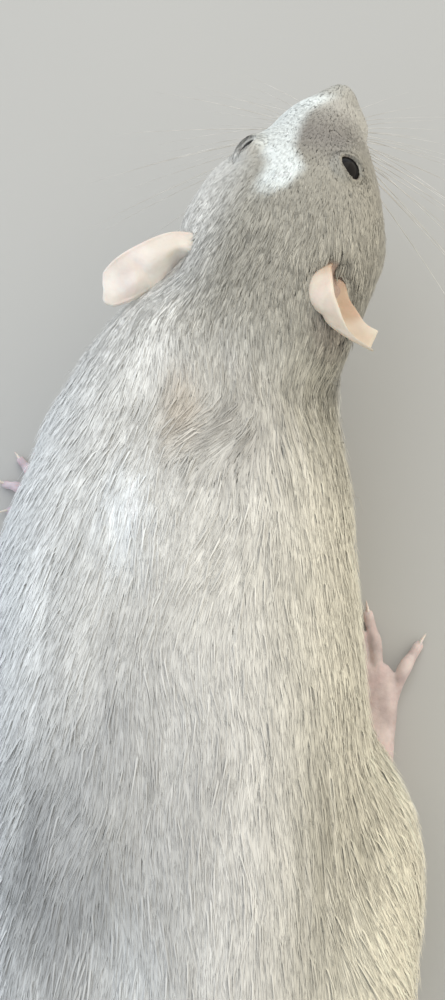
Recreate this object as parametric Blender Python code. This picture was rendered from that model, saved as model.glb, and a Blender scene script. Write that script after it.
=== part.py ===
"""A pet rat at life size, standing low on four feet with its head turned and its tail laid behind.

Every table is in millimetres in the rat's own frame: right, ahead, up, with the floor at up = 0 and the hips
near ahead = 0. The last step turns that frame so that the nose points along -Y and the middle of the whole box
stands on the origin. The body is the outside of the coat: it is blended as one form, then parted by thin cuts
into head, neck, torso and legs. Feet with claws, ears, eyes and the tail are pieces of their own.
"""

import math

import bmesh
import bpy
from mathutils import Matrix, Vector
from mathutils.bvhtree import BVHTree

MM = 0.001
GAP = 0.3  # between pieces that meet
BODY_VOXEL, BODY_ROUNDS = 1.7, 26  # grain and softening of the trunk with its limbs
BLEND_VOXEL, BLEND_ROUNDS = 1.0, 9  # the same for the whole with its head
BODY_TRIANGLES = 5200
FOOT_VOXEL, FOOT_ROUNDS, FOOT_TRIANGLES = 0.34, 4, 380
FAR = 400.0  # half the side of a block that cuts by a plane
LIMB_CUT, LIMB_OUT = 2.6, 5.0  # a limb's cut through the coat is its own form, this much bigger and further out
KNEE_CUT = ((31.5, 28.0, 10.5), (10.0, 11.0, 10.0))  # the rest of that cut, above the heel and above the wrist
ELBOW_CUT = ((20.4, 75.0, 11.0), (8.6, 9.0, 9.0))

# Head: its own frame has the top of the skull between the ears as its origin
HEAD_TOP = (13.6, 110.2, 50.4)
HEAD_YAW, HEAD_PITCH, HEAD_ROLL = -17.5, 0.5, -11.7  # degrees: turned right, level, right side up
HEAD_END = -10.0  # the cut behind the ears, in the head's frame
NECK_END, NECK_END_YAW = (7.0, 90.0, 25.0), -9.0  # the cut across the shoulders

EYE_AT = (7.6, 19.9, -7.8)
EYE_RADIUS = 3.2
LID = 0.75  # how far the lid's outside stands off the eye
EYE_SIDES = 18
EYE_OUTWARD = (0.74, 0.22, 0.64)
EYE_OPENING = (2.6, 1.8)  # half length and half height of the slit between the lids

# Each ear, as for a right ear: the root and the tip of its back's middle line, how far that line bows to the rear,
# and how many degrees its cup faces down from level
EAR_SET = {
    "right": ((8.3, -3.6, -5.2), (22.4, -11.8, -4.0), 2.6, -10.0),
    "left": ((9.6, -4.0, -5.4), (24.2, -11.0, -5.4), 1.4, 34.0),
}
EAR_THICKNESS = 0.8
# Ear sections: share of the length, half width, half angle of the curl
EAR = [
    (-0.16, 2.6, 104.0),
    (0.06, 4.0, 96.0),
    (0.24, 5.2, 86.0),
    (0.42, 5.9, 75.0),
    (0.6, 5.9, 64.0),
    (0.78, 5.3, 52.0),
    (0.92, 4.2, 42.0),
    (1.0, 2.6, 32.0),
]

# Body sections: right, ahead, up (where it is widest), half width, height above, depth below, squareness
TORSO = [
    (-3.4, -53.0, 14.4, 5.0, 5.0, 5.0, 2.0),
    (-3.3, -48.5, 16.2, 10.4, 12.2, 9.4, 2.0),
    (-3.2, -41.0, 18.4, 18.4, 22.4, 13.6, 2.0),
    (-3.0, -30.0, 20.8, 25.8, 30.6, 16.8, 2.05),
    (-2.6, -17.0, 22.5, 31.0, 35.6, 18.6, 2.1),
    (-2.2, -3.0, 23.5, 33.4, 38.0, 19.6, 2.1),
    (-1.6, 13.0, 24.0, 34.0, 38.8, 20.2, 2.1),
    (-1.0, 30.0, 24.0, 32.8, 38.2, 20.0, 2.1),
    (-0.4, 46.0, 24.5, 31.8, 36.2, 20.0, 2.1),
    (0.6, 61.0, 25.0, 30.2, 33.4, 19.4, 2.1),
    (3.1, 76.0, 25.5, 27.6, 28.6, 17.8, 2.1),
    (5.2, 89.0, 26.0, 24.6, 24.6, 15.2, 2.05),
    (9.6, 101.0, 25.5, 21.0, 22.6, 11.0, 1.95),
    (12.8, 108.5, 26.0, 17.8, 21.0, 8.0, 1.9),
    (14.8, 115.0, 27.5, 14.0, 16.6, 6.0, 1.9),
    (15.6, 119.0, 29.0, 7.0, 8.0, 4.0, 2.0),
]
THIGH = [
    (15.0, -22.0, 37.0, 9.0, 9.0, 9.0, 2.0),
    (18.0, -12.0, 33.0, 17.0, 19.0, 18.0, 2.0),
    (20.6, 3.0, 28.0, 17.4, 22.0, 19.0, 2.1),
    (23.4, 15.0, 24.5, 16.8, 19.0, 17.0, 2.1),
    (26.3, 25.0, 20.5, 13.4, 14.0, 13.0, 2.0),
    (28.5, 33.0, 17.5, 7.6, 8.0, 8.0, 2.0),
]
SHANK = [
    (28.5, 33.0, 17.0, 7.0, 7.0, 7.0, 2.0),
    (30.6, 28.5, 12.5, 7.2, 7.0, 7.0, 2.0),
    (32.6, 25.5, 8.0, 5.6, 5.0, 5.0, 2.0),
    (33.4, 24.0, 5.4, 3.6, 3.0, 2.4, 2.0),
]
SHOULDER = [
    (11.0, 90.0, 35.0, 7.0, 8.0, 8.0, 2.0),
    (15.5, 85.0, 28.0, 10.4, 12.0, 12.0, 2.0),
    (18.5, 78.0, 20.0, 8.6, 9.0, 9.0, 2.0),
    (19.5, 73.5, 15.5, 6.0, 6.0, 6.0, 2.0),
]
FOREARM = [
    (19.0, 76.0, 18.0, 6.4, 6.0, 6.0, 2.0),
    (19.8, 73.5, 13.6, 5.4, 5.0, 5.0, 2.0),
    (20.4, 74.5, 10.2, 4.2, 3.6, 3.6, 2.0),
    (20.9, 76.2, 7.6, 3.0, 2.6, 2.6, 2.0),
]

# Head sections, in the head's frame
SKULL = [
    (0.0, -22.0, -14.0, 12.0, 11.0, 10.0, 2.1),
    (0.0, -14.0, -13.5, 16.0, 13.0, 12.6, 2.1),
    (0.0, -4.0, -13.5, 16.8, 13.0, 13.8, 2.05),
    (0.0, 6.0, -13.8, 17.4, 13.0, 14.0, 2.05),
    (0.0, 14.0, -14.2, 16.4, 12.2, 13.6, 2.05),
    (0.0, 21.0, -14.8, 13.7, 11.0, 12.6, 2.1),
    (0.0, 27.0, -15.2, 10.7, 9.4, 10.6, 2.1),
    (0.0, 32.0, -15.4, 8.4, 7.7, 7.8, 2.1),
    (0.0, 36.4, -15.2, 6.1, 5.9, 5.2, 2.0),
    (0.0, 39.6, -14.9, 4.0, 4.1, 3.4, 2.0),
    (0.0, 41.5, -14.7, 2.2, 2.4, 2.0, 2.0),
]
JAW = [
    (0.0, 6.0, -22.0, 9.6, 6.0, 6.6, 2.0),
    (0.0, 18.0, -23.4, 7.4, 5.0, 5.2, 2.0),
    (0.0, 25.4, -23.0, 5.0, 3.6, 3.6, 2.0),
    (0.0, 30.4, -22.0, 3.0, 2.4, 2.4, 2.0),
]
WHISKER_PAD = ((3.9, 33.8, -17.0), (4.3, 5.8, 4.6))
LID_BULGE = ((7.2, 19.4, -8.6), (4.6, 7.6, 4.5))
CHEEK = ((11.8, 10.0, -17.0), (5.4, 8.6, 8.6))
NOSTRIL = ((1.55, 41.1, -14.9), (0.7, 1.5, 0.8))
LIP_CLEFT = ((0.0, 41.1, -18.0), (0.3, 2.2, 2.6))
# The line of the mouth runs round a point inside the jaw: that point, its turn to each corner in degrees, its
# drop to the corners, and the half depth and half height of its groove
MOUTH_MIDDLE, MOUTH_TURN, MOUTH_DROP = (0.0, 25.0, -20.6), 84.0, 1.6
MOUTH_GROOVE = (1.3, 0.3)

# Feet, in the frame of a right foot standing at its heel or wrist: right, ahead, up
HIND_FOOT = [
    (-1.4, -2.2, 4.4, 2.2, 2.4, 3.4, 2.0),
    (-1.2, 1.0, 4.6, 3.4, 3.8, 5.0, 2.2),
    (-0.9, 6.5, 3.6, 3.9, 3.4, 4.2, 2.3),
    (-0.6, 12.5, 3.2, 4.3, 2.7, 3.8, 2.4),
    (-0.3, 18.5, 2.9, 4.9, 2.3, 3.5, 2.5),
    (-0.1, 23.5, 2.7, 4.8, 1.8, 3.2, 2.4),
    (-0.1, 26.2, 2.4, 3.4, 1.3, 2.6, 2.0),
]
FORE_FOOT = [
    (0.0, -8.4, 9.8, 2.0, 2.0, 2.0, 2.0),
    (0.0, -6.6, 8.0, 2.7, 2.6, 2.6, 2.0),
    (0.0, -4.0, 5.2, 2.7, 2.4, 2.8, 2.1),
    (0.0, -1.0, 2.8, 3.2, 2.3, 3.4, 2.3),
    (0.1, 2.4, 2.1, 3.4, 1.8, 2.8, 2.3),
    (0.1, 4.6, 1.9, 2.4, 1.2, 2.4, 2.0),
]
# Each toe: root, knuckle and tip, then the radius at root and tip
HIND_TOES = [
    ((-4.4, 15.5, 2.6), (-7.0, 19.6, 2.6), (-8.4, 23.6, 0.9), 1.35, 0.85),
    ((-3.2, 22.0, 2.7), (-4.8, 28.6, 3.2), (-6.0, 34.2, 0.9), 1.5, 0.9),
    ((-0.9, 23.4, 2.8), (-1.7, 30.6, 3.4), (-2.3, 36.8, 0.9), 1.55, 0.9),
    ((1.5, 22.8, 2.7), (1.1, 30.0, 3.3), (0.4, 36.0, 0.9), 1.5, 0.9),
    ((3.4, 19.6, 2.6), (6.4, 25.6, 3.0), (9.4, 30.0, 0.9), 1.45, 0.85),
]
FORE_TOES = [
    ((-1.9, 3.0, 1.9), (-2.9, 6.4, 2.3), (-3.3, 9.0, 0.7), 1.05, 0.68),
    ((-0.5, 3.8, 2.0), (-0.7, 7.9, 2.4), (-0.7, 11.2, 0.7), 1.1, 0.68),
    ((1.2, 3.2, 1.9), (2.9, 6.4, 2.3), (4.4, 8.8, 0.7), 1.1, 0.68),
    ((2.2, 1.4, 1.8), (4.6, 2.8, 2.1), (6.8, 3.9, 0.7), 1.05, 0.68),
]
HIND_CLAW = (3.0, 0.62)  # length and radius at the root
FORE_CLAW = (2.0, 0.45)
# Where each foot stands: right, ahead, turn in degrees (positive turns its toes to the rat's left)
HIND_STAND = {"right": (35.0, 24.8, 1.0), "left": (-37.4, 22.0, 6.0)}
FORE_STAND = {"right": (23.6, 83.0, -6.0), "left": (-24.6, 81.6, 36.0)}
LIMB_SHIFT = {"right": 2.0, "left": 2.6}  # the forelegs stand about the bent spine

# Tail: right, ahead, and height above the floor added to its own radius
TAIL_PATH = [
    (-3.3, -40.0, 12.6),
    (-3.3, -49.0, 10.4),
    (-3.5, -58.0, 6.2),
    (-3.8, -67.0, 2.2),
    (-3.8, -77.0, 0.0),
    (-2.8, -89.0, -0.5),
    (0.6, -106.0, -0.45),
    (7.0, -124.0, -0.4),
    (16.5, -141.0, -0.35),
    (28.5, -156.5, -0.3),
    (42.0, -170.0, -0.25),
    (56.0, -181.0, -0.2),
]
TAIL_ROOT_RADIUS, TAIL_TIP_RADIUS = 5.0, 1.0
TAIL_CUTS = {"tail_base": (0.0, 0.34), "tail_middle": (0.34, 0.6), "tail_end": (0.6, 0.82), "tail_tip": (0.82, 1.0)}
TAIL_SIDES, TAIL_RINGS = 14, 34

COAT_COLOUR = (0.60, 0.57, 0.51, 1.0)
HOOD_COLOUR = (0.42, 0.39, 0.35, 1.0)
SKIN_COLOUR = (0.68, 0.47, 0.42, 1.0)
TAIL_COLOUR = (0.58, 0.40, 0.35, 1.0)
EYE_COLOUR = (0.010, 0.008, 0.008, 1.0)


def mm(point):
    """A point of a table, in metres."""
    return Vector(point) * MM


def turned_frame(middle, yaw, pitch=0.0, roll=0.0):
    """Carries a frame turned by so many degrees about a point to the rat's frame."""
    turn = (
        Matrix.Rotation(math.radians(yaw), 4, "Z")
        @ Matrix.Rotation(math.radians(pitch), 4, "X")
        @ Matrix.Rotation(math.radians(roll), 4, "Y")
    )
    return Matrix.Translation(mm(middle)) @ turn


HEAD = turned_frame(HEAD_TOP, HEAD_YAW, HEAD_PITCH, HEAD_ROLL)
NECK = turned_frame(NECK_END, NECK_END_YAW)
LEFT = Matrix.Diagonal((-1.0, 1.0, 1.0, 1.0))


def along_table(stations, place):
    """The row at a fractional place along a table, on a Catmull-Rom curve through all of its columns."""
    last = len(stations) - 1
    step = min(int(place), last - 1)
    share = place - step
    rows = [stations[max(0, min(last, step + k))] for k in (-1, 0, 1, 2)]
    found = []
    for before, start, end, after in zip(*rows):
        slope_in = (end - before) / 2
        slope_out = (after - start) / 2
        square, cube = share**2, share**3
        found.append(
            (2 * cube - 3 * square + 1) * start
            + (cube - 2 * square + share) * slope_in
            + (3 * square - 2 * cube) * end
            + (cube - square) * slope_out
        )
    return found


def section_point(turn, half_width, above, below, squareness):
    """A point of a rounded section, as across and up: turn 0 is its right side, a quarter turn its top."""
    c, s = math.cos(turn), math.sin(turn)
    across = half_width * math.copysign(abs(c) ** (2 / squareness), c)
    up = (above if s > 0 else below) * math.copysign(abs(s) ** (2 / squareness), s)
    return across, up


def facing_out(bm):
    """Turns the faces of a closed form outward."""
    bmesh.ops.recalc_face_normals(bm, faces=bm.faces)
    if bm.calc_volume(signed=True) < 0:
        bmesh.ops.reverse_faces(bm, faces=bm.faces)
    return bm


def lofted(stations, sides, rings, frame=None, grow=0.0):
    """A closed round form through sections along a curve: a sphere whose rings are moved onto them."""
    bm = bmesh.new()
    bmesh.ops.create_uvsphere(bm, u_segments=sides, v_segments=rings + 1, radius=1.0)
    last = len(stations) - 1
    for vert in bm.verts:
        ring = round(math.acos(max(-1.0, min(1.0, vert.co.z))) / math.pi * (rings + 1))
        place = last * min(max(ring - 1, 0), rings - 1) / (rings - 1)
        here = along_table(stations, place)
        ahead = Vector(along_table(stations, min(last, place + 0.05))[:3])
        behind = Vector(along_table(stations, max(0.0, place - 0.05))[:3])
        along = (ahead - behind).normalized()
        side = along.cross(Vector((0, 0, 1))).normalized()
        up = side.cross(along)
        if 0 < ring < rings + 1:
            turn = math.atan2(vert.co.y, vert.co.x)
            across, lift = section_point(turn, *[size + grow for size in here[3:6]], here[6])
            vert.co = mm(Vector(here[:3]) + side * across + up * lift)
        else:
            vert.co = mm(Vector(here[:3]) + along * (grow if ring else -grow))
    if frame is not None:
        bmesh.ops.transform(bm, matrix=frame, verts=bm.verts)
    return facing_out(bm)


def ellipsoid(middle, radii, frame=None, sides=24):
    """A closed ellipsoid, its radii along right, ahead and up."""
    bm = bmesh.new()
    bmesh.ops.create_uvsphere(bm, u_segments=sides, v_segments=sides // 2, radius=1.0)
    place = Matrix.Translation(mm(middle)) @ Matrix.Diagonal((*mm(radii), 1.0))
    bmesh.ops.transform(bm, matrix=place if frame is None else frame @ place, verts=bm.verts)
    return facing_out(bm)


def thing(name, bm):
    """A new object in the scene from a bmesh, which is freed."""
    mesh = bpy.data.meshes.new(name)
    bm.to_mesh(mesh)
    bm.free()
    made = bpy.data.objects.new(name, mesh)
    bpy.context.scene.collection.objects.link(made)
    return made


def joined(name, parts):
    """One object that holds several bmeshes, each still a shell of its own."""
    whole = bmesh.new()
    for part in parts:
        piece = bpy.data.meshes.new(name)
        part.to_mesh(piece)
        part.free()
        whole.from_mesh(piece)
        bpy.data.meshes.remove(piece)
    return thing(name, whole)


def applied(made):
    """Replaces an object's mesh by what its modifiers make of it."""
    graph = bpy.context.evaluated_depsgraph_get()
    new = bpy.data.meshes.new_from_object(made.evaluated_get(graph))
    old = made.data
    made.modifiers.clear()
    made.data = new
    bpy.data.meshes.remove(old)
    return made


def blended(made, voxel, rounds):
    """Fuses an object's shells into one smooth skin."""
    fuse = made.modifiers.new("fuse", "REMESH")
    fuse.mode = "VOXEL"
    fuse.voxel_size = voxel * MM
    soften = made.modifiers.new("soften", "SMOOTH")
    soften.factor = 0.5
    soften.iterations = rounds
    return applied(made)


def thinned(made, triangles):
    """Leaves about so many triangles of an object."""
    thin = made.modifiers.new("thin", "DECIMATE")
    thin.ratio = min(1.0, triangles / sum(len(p.vertices) - 2 for p in made.data.polygons))
    thin.use_collapse_triangulate = True
    return applied(made)


def keep_largest(made):
    """Drops every loose scrap of a mesh but its largest surface."""
    bm = bmesh.new()
    bm.from_mesh(made.data)
    unseen = set(bm.faces)
    shells = []
    while unseen:
        reached = [unseen.pop()]
        shell = []
        while reached:
            face = reached.pop()
            shell.append(face)
            for edge in face.edges:
                for near in edge.link_faces:
                    if near in unseen:
                        unseen.remove(near)
                        reached.append(near)
        shells.append(shell)
    shells.sort(key=lambda shell: sum(face.calc_area() for face in shell))
    scraps = [face for shell in shells[:-1] for face in shell]
    bmesh.ops.delete(bm, geom=scraps, context="FACES")
    bm.to_mesh(made.data)
    bm.free()
    return made


def combined(made, others, operation):
    """Joins, cuts or meets an object with bmeshes, one Boolean each, and keeps its largest closed surface."""
    for number, other in enumerate(others):
        tool = thing(f"{made.name}_tool_{number}", other)
        step = made.modifiers.new("step", "BOOLEAN")
        step.operation = operation
        step.object = tool
        step.solver = "MANIFOLD"  # EXACT drops whole pieces here
        applied(made)
        bpy.data.objects.remove(tool)
    return keep_largest(made)


def copy_of(made, name):
    """A second object with its own copy of the mesh."""
    twin = bpy.data.objects.new(name, made.data.copy())
    bpy.context.scene.collection.objects.link(twin)
    return twin


def grown_bmesh(made, by):
    """An object's mesh as a bmesh, every point moved out along its normal."""
    bm = bmesh.new()
    bm.from_mesh(made.data)
    bm.normal_update()
    shifts = [vert.normal * (by * MM) for vert in bm.verts]
    for vert, shift in zip(bm.verts, shifts):
        vert.co += shift
    return bm


def half_space(frame, edge, ahead):
    """A big block that fills everything ahead of a plane, or behind it, across a frame's second axis."""
    bm = bmesh.new()
    bmesh.ops.create_cube(bm, size=2 * FAR * MM)
    middle = edge + (FAR if ahead else -FAR)
    bmesh.ops.transform(bm, matrix=frame @ Matrix.Translation(mm((0.0, middle, 0.0))), verts=bm.verts)
    return bm


def below_floor():
    """A big block whose top is the floor."""
    bm = bmesh.new()
    bmesh.ops.create_cube(bm, size=2 * FAR * MM)
    bmesh.ops.translate(bm, vec=mm((0.0, 0.0, -FAR)), verts=bm.verts)
    return bm


def limb_frame(side):
    """Carries a right foreleg to its place on either side."""
    shift = Matrix.Translation(mm((LIMB_SHIFT[side], 0.0, 0.0)))
    return shift if side == "right" else shift @ LEFT


def foot_frame(side, stand):
    """Carries the frame of a right foot to where that foot stands."""
    right, ahead, turn = stand[side]
    frame = turned_frame((right, ahead, 0.0), turn)
    return frame if side == "right" else frame @ LEFT


def side_frame(side):
    return Matrix.Identity(4) if side == "right" else LEFT


def body_form():
    """The outside of the coat as one blended form: trunk, limbs and head."""
    trunk = [lofted(TORSO, 56, 80)]
    for side in ("right", "left"):
        trunk.append(lofted(THIGH, 32, 28, side_frame(side)))
        trunk.append(lofted(SHOULDER, 32, 24, limb_frame(side)))
    whole = blended(joined("trunk", trunk), BODY_VOXEL, BODY_ROUNDS)
    parts = [bmesh.new(), lofted(SKULL, 48, 56, HEAD), lofted(JAW, 24, 24, HEAD)]
    parts[0].from_mesh(whole.data)
    bpy.data.objects.remove(whole)
    for side in ("right", "left"):
        parts.append(lofted(SHANK, 24, 20, side_frame(side)))
        parts.append(lofted(FOREARM, 24, 20, limb_frame(side)))
        for middle, radii in (WHISKER_PAD, LID_BULGE, CHEEK):
            parts.append(ellipsoid(middle, radii, HEAD @ side_frame(side)))
    return thinned(blended(joined("body", parts), BLEND_VOXEL, BLEND_ROUNDS), BODY_TRIANGLES)


def capsule(start, knuckle, tip, root_radius, tip_radius):
    """A toe: a round form bent at its knuckle."""
    middle_radius = (root_radius + tip_radius) / 2 + 0.05
    rows = []
    for point, radius in ((start, root_radius), (knuckle, middle_radius), (tip, tip_radius)):
        rows.append((*point, radius, radius, radius, 2.0))
    reach = (Vector(tip) - Vector(knuckle)).normalized() * tip_radius * 0.7
    end = Vector(tip) + reach
    rows.append((*end, tip_radius * 0.6, tip_radius * 0.6, tip_radius * 0.6, 2.0))
    return lofted(rows, 14, 14)


def claw(knuckle, tip, size):
    """A curved claw from a toe's tip: it starts inside the toe, rises a little and points down."""
    length, radius = size
    along = Vector(tip) - Vector(knuckle)
    along = Vector((along.x, along.y, 0.0)).normalized()
    start = Vector(tip) + Vector((0, 0, radius * 0.7))
    rows = []
    for share, lift, thick in ((-0.2, -0.1, 0.9), (0.25, 0.24, 0.95), (0.65, 0.18, 0.62), (1.0, -0.16, 0.22)):
        point = start + along * (length * share) + Vector((0, 0, length * 0.5 * lift))
        point.z = max(point.z, radius * thick + 0.05)
        rows.append((*point, radius * thick * 0.8, radius * thick, radius * thick, 2.0))
    return lofted(rows, 6, 5)


def foot(name, side, stand, palm, toes, claw_size):
    """A foot with its toes fused into it, flat on the floor, and its claws joined on."""
    fleshy = [lofted(palm, 24, 24)] + [capsule(*toe) for toe in toes]
    made = thinned(blended(joined(name, fleshy), FOOT_VOXEL, FOOT_ROUNDS), FOOT_TRIANGLES)
    combined(made, [claw(toe[1], toe[2], claw_size) for toe in toes], "UNION")
    combined(made, [below_floor()], "DIFFERENCE")
    frame = foot_frame(side, stand)
    made.data.transform(frame)
    if frame.determinant() < 0:
        made.data.flip_normals()
    return made


def ear_form(side, body):
    """A thin curled leaf that opens outward and down, its root shaped to the head."""
    root, tip, bow, cup_tilt = EAR_SET[side]
    root, tip = Vector(root), Vector(tip)
    length = (tip - root).length
    along = (tip - root) / length
    level = along.cross(Vector((0, 0, 1))).normalized() * -1
    top = level.cross(along).normalized()
    if top.z < 0:
        top.negate()
    tilt = math.radians(cup_tilt)
    opening = (level * math.cos(tilt) - top * math.sin(tilt)).normalized()
    across = along.cross(opening)
    steps, turns = 13, 10
    bm = bmesh.new()
    loops = []
    for step in range(steps + 1):
        share, width, curl = along_table(EAR, (len(EAR) - 1) * step / steps)
        curl = math.radians(curl)
        radius = width / (math.sin(curl) if curl < math.pi / 2 else 1.0)
        back = 4 * bow * max(0.0, share * (1 - share))
        spine = root + along * (length * share) - level * back
        loop = []
        for sign, order in ((1, range(turns + 1)), (-1, range(turns, -1, -1))):
            for turn in order:
                angle = curl * (2 * turn / turns - 1)
                thin = 1.0 - 0.4 * (2 * turn / turns - 1) ** 4
                away = -opening * math.cos(angle) + across * math.sin(angle)
                wall = radius + sign * EAR_THICKNESS * thin / 2
                loop.append(bm.verts.new(mm(spine + opening * radius + away * wall)))
        loops.append(loop)
    for first, second in zip(loops, loops[1:]):
        count = len(first)
        for k in range(count):
            bm.faces.new((first[k], first[(k + 1) % count], second[(k + 1) % count], second[k]))
    bm.faces.new(loops[0])
    bm.faces.new(loops[-1])
    bmesh.ops.triangulate(bm, faces=[face for face in bm.faces if len(face.verts) > 4])
    bmesh.ops.transform(bm, matrix=HEAD @ side_frame(side), verts=bm.verts)
    facing_out(bm)
    return combined(thing("ear_" + side, bm), [grown_bmesh(body, GAP)], "DIFFERENCE")


def eye_frame(side):
    """The frame of an eye: it looks along its own third axis, and its slit runs along the first."""
    out = Vector(EYE_OUTWARD).normalized()
    slit = Vector((0, 1, -0.12))
    slit = (slit - out * slit.dot(out)).normalized()
    up = out.cross(slit)
    turn = Matrix((slit, up, out)).transposed().to_4x4()
    return HEAD @ side_frame(side) @ Matrix.Translation(mm(EYE_AT)) @ turn


def eye(side):
    bm = ellipsoid((0, 0, 0), (EYE_RADIUS,) * 3, eye_frame(side), EYE_SIDES)
    return thing("eye_" + side, bm)


def with_face(head):
    """Gives the head its lids, eye openings, nostrils and mouth."""
    for side in ("right", "left"):
        frame = eye_frame(side)
        combined(head, [ellipsoid((0, 0, 0), (EYE_RADIUS + LID,) * 3, frame, EYE_SIDES + 2)], "UNION")
        long, high = EYE_OPENING
        opening = ellipsoid((0, 0, EYE_RADIUS + 0.6), (long, high, 2.4), frame, EYE_SIDES - 4)
        socket = ellipsoid((0, 0, 0), (EYE_RADIUS + GAP,) * 3, frame, EYE_SIDES)
        combined(head, [opening, socket, ellipsoid(*NOSTRIL, HEAD @ side_frame(side), 8)], "DIFFERENCE")
    return combined(head, [mouth_groove(head), ellipsoid(*LIP_CLEFT, HEAD, 8)], "DIFFERENCE")


def mouth_groove(head):
    """A thin lens that follows the head's surface round the snout."""
    bm = bmesh.new()
    bm.from_mesh(head.data)
    bmesh.ops.transform(bm, matrix=HEAD.inverted(), verts=bm.verts)
    surface = BVHTree.FromBMesh(bm)
    bm.free()
    depth, height = MOUTH_GROOVE
    rows = []
    for step in range(-6, 7):
        turn = math.radians(MOUTH_TURN * step / 6)
        start = Vector(MOUTH_MIDDLE) - Vector((0, 0, MOUTH_DROP * (step / 6) ** 2))
        met = surface.ray_cast(mm(start), Vector((math.sin(turn), math.cos(turn), 0.0)))[0]
        shrink = 1.0 - 0.6 * abs(step / 6) ** 3
        rows.append((*(met / MM), depth * shrink, height * shrink, height * shrink, 2.0))
    return lofted(rows, 8, 24, HEAD)


def tail_row(share):
    """A row of the tail's table at a share of its length, with its radius."""
    right, ahead, lift = along_table(TAIL_PATH, share * (len(TAIL_PATH) - 1))
    radius = TAIL_ROOT_RADIUS + (TAIL_TIP_RADIUS - TAIL_ROOT_RADIUS) * share**0.8
    return (right, ahead, lift + radius, radius, radius, radius, 2.0)


def tail_frame(share):
    """A frame on the tail's middle line whose second axis runs on toward the tip."""
    here, onward = (Vector(tail_row(share + step)[:3]) for step in (0.0, 0.01))
    return turned_frame(here, math.degrees(math.atan2(here.x - onward.x, onward.y - here.y)))


def tail_pieces():
    """The lengths of the tail, flat where they lie on the floor."""
    rows = [tail_row(k / (TAIL_RINGS - 1)) for k in range(TAIL_RINGS)]
    whole = combined(thing("tail", lofted(rows, TAIL_SIDES, TAIL_RINGS)), [below_floor()], "DIFFERENCE")
    made = []
    for name, (start, end) in TAIL_CUTS.items():
        piece = copy_of(whole, name)
        if start > 0.0:
            combined(piece, [half_space(tail_frame(start), GAP / 2, ahead=True)], "INTERSECT")
        if end < 1.0:
            combined(piece, [half_space(tail_frame(end), -GAP / 2, ahead=False)], "INTERSECT")
        made.append(piece)
    bpy.data.objects.remove(whole)
    return made


def painted(made, colour, roughness):
    """Gives an object a material of its own."""
    material = bpy.data.materials.new(made.name)
    material.use_nodes = True
    shader = material.node_tree.nodes["Principled BSDF"]
    shader.inputs["Base Color"].default_value = colour
    shader.inputs["Roughness"].default_value = roughness
    made.data.materials.clear()
    made.data.materials.append(material)
    for polygon in made.data.polygons:
        polygon.material_index = 0
    return made


def stand_on_origin(pieces):
    """Hangs the pieces on an empty that turns the nose to -Y and brings the middle of the box over the origin."""
    points = [vert.co for made in pieces for vert in made.data.vertices]
    middle = [(min(p[k] for p in points) + max(p[k] for p in points)) / 2 for k in (0, 1)]
    rat = bpy.data.objects.new("rat", None)
    bpy.context.scene.collection.objects.link(rat)
    rat.rotation_euler.z = math.pi
    rat.location = (*middle, 0.0)
    for made in pieces:
        made.parent = rat


def limb_cutter(upper, lower, frame, grow):
    """The closed form that parts a limb from the trunk."""
    outward = frame @ Matrix.Translation(mm((LIMB_OUT, 0.0, 0.0)))
    made = thing("limb_cutter", lofted(upper, 16, 10, outward, LIMB_CUT + grow))
    middle, radii = lower
    combined(made, [ellipsoid(middle, [radius + grow for radius in radii], frame, 14)], "UNION")
    bm = bmesh.new()
    bm.from_mesh(made.data)
    bpy.data.objects.remove(made)
    return bm


def main():
    for old in list(bpy.data.objects):
        bpy.data.objects.remove(old)
    body = body_form()
    flesh, bare, eyes = [], [], []
    for side in ("right", "left"):
        bare.append(ear_form(side, body))
        eyes.append(eye(side))
        bare.append(foot("hind_foot_" + side, side, HIND_STAND, HIND_FOOT, HIND_TOES, HIND_CLAW))
        bare.append(foot("forefoot_" + side, side, FORE_STAND, FORE_FOOT, FORE_TOES, FORE_CLAW))
    head = copy_of(body, "head")
    combined(head, [half_space(HEAD, HEAD_END + GAP / 2, ahead=True)], "INTERSECT")
    neck = copy_of(body, "neck")
    combined(neck, [half_space(HEAD, HEAD_END - GAP / 2, ahead=False)], "INTERSECT")
    combined(neck, [half_space(NECK, GAP / 2, ahead=True)], "INTERSECT")
    torso = copy_of(body, "torso")
    combined(torso, [half_space(NECK, -GAP / 2, ahead=False)], "INTERSECT")
    for side in ("right", "left"):
        hind_frame, fore_frame = side_frame(side), limb_frame(side)
        hind_sole = lofted(HIND_FOOT, 16, 14, foot_frame(side, HIND_STAND), GAP)
        fore_sole = lofted(FORE_FOOT, 16, 14, foot_frame(side, FORE_STAND), GAP)
        for name, sole, frame, upper, lower in (
            ("hind_leg_", hind_sole, hind_frame, THIGH, KNEE_CUT),
            ("foreleg_", fore_sole, fore_frame, SHOULDER, ELBOW_CUT),
        ):
            leg = copy_of(torso, name + side)
            combined(leg, [limb_cutter(upper, lower, frame, 0.0)], "INTERSECT")
            combined(leg, [sole], "DIFFERENCE")
            combined(torso, [limb_cutter(upper, lower, frame, GAP)], "DIFFERENCE")
            flesh.append(leg)
    bpy.data.objects.remove(body)
    flesh += [torso, neck, with_face(head)]
    tail = tail_pieces()
    combined(tail[0], [grown_bmesh(torso, GAP)], "DIFFERENCE")
    for made in flesh:
        painted(made, HOOD_COLOUR if made.name in ("head", "neck") else COAT_COLOUR, 0.85)
    for made in bare:
        painted(made, SKIN_COLOUR, 0.6)
    for made in tail:
        painted(made, TAIL_COLOUR, 0.6)
    for made in eyes:
        painted(made, EYE_COLOUR, 0.08)
    pieces = flesh + bare + tail + eyes
    stand_on_origin(pieces)
    for made in pieces:
        made.data.shade_smooth()


main()
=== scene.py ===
"""Looks of a life-size pet rat: one skin, a coat of mesh tufts, eyes, claws and whiskers.

Sizes are in millimetres in the rat's own frame (right, ahead, up, with the floor at up = 0), as in the part's
source, and every piece is turned to the row frame when it is finished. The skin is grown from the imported
solids, so it stays with them. Tufts root on the skin, follow the lie of the coat and end where the solids do.
"""

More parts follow.
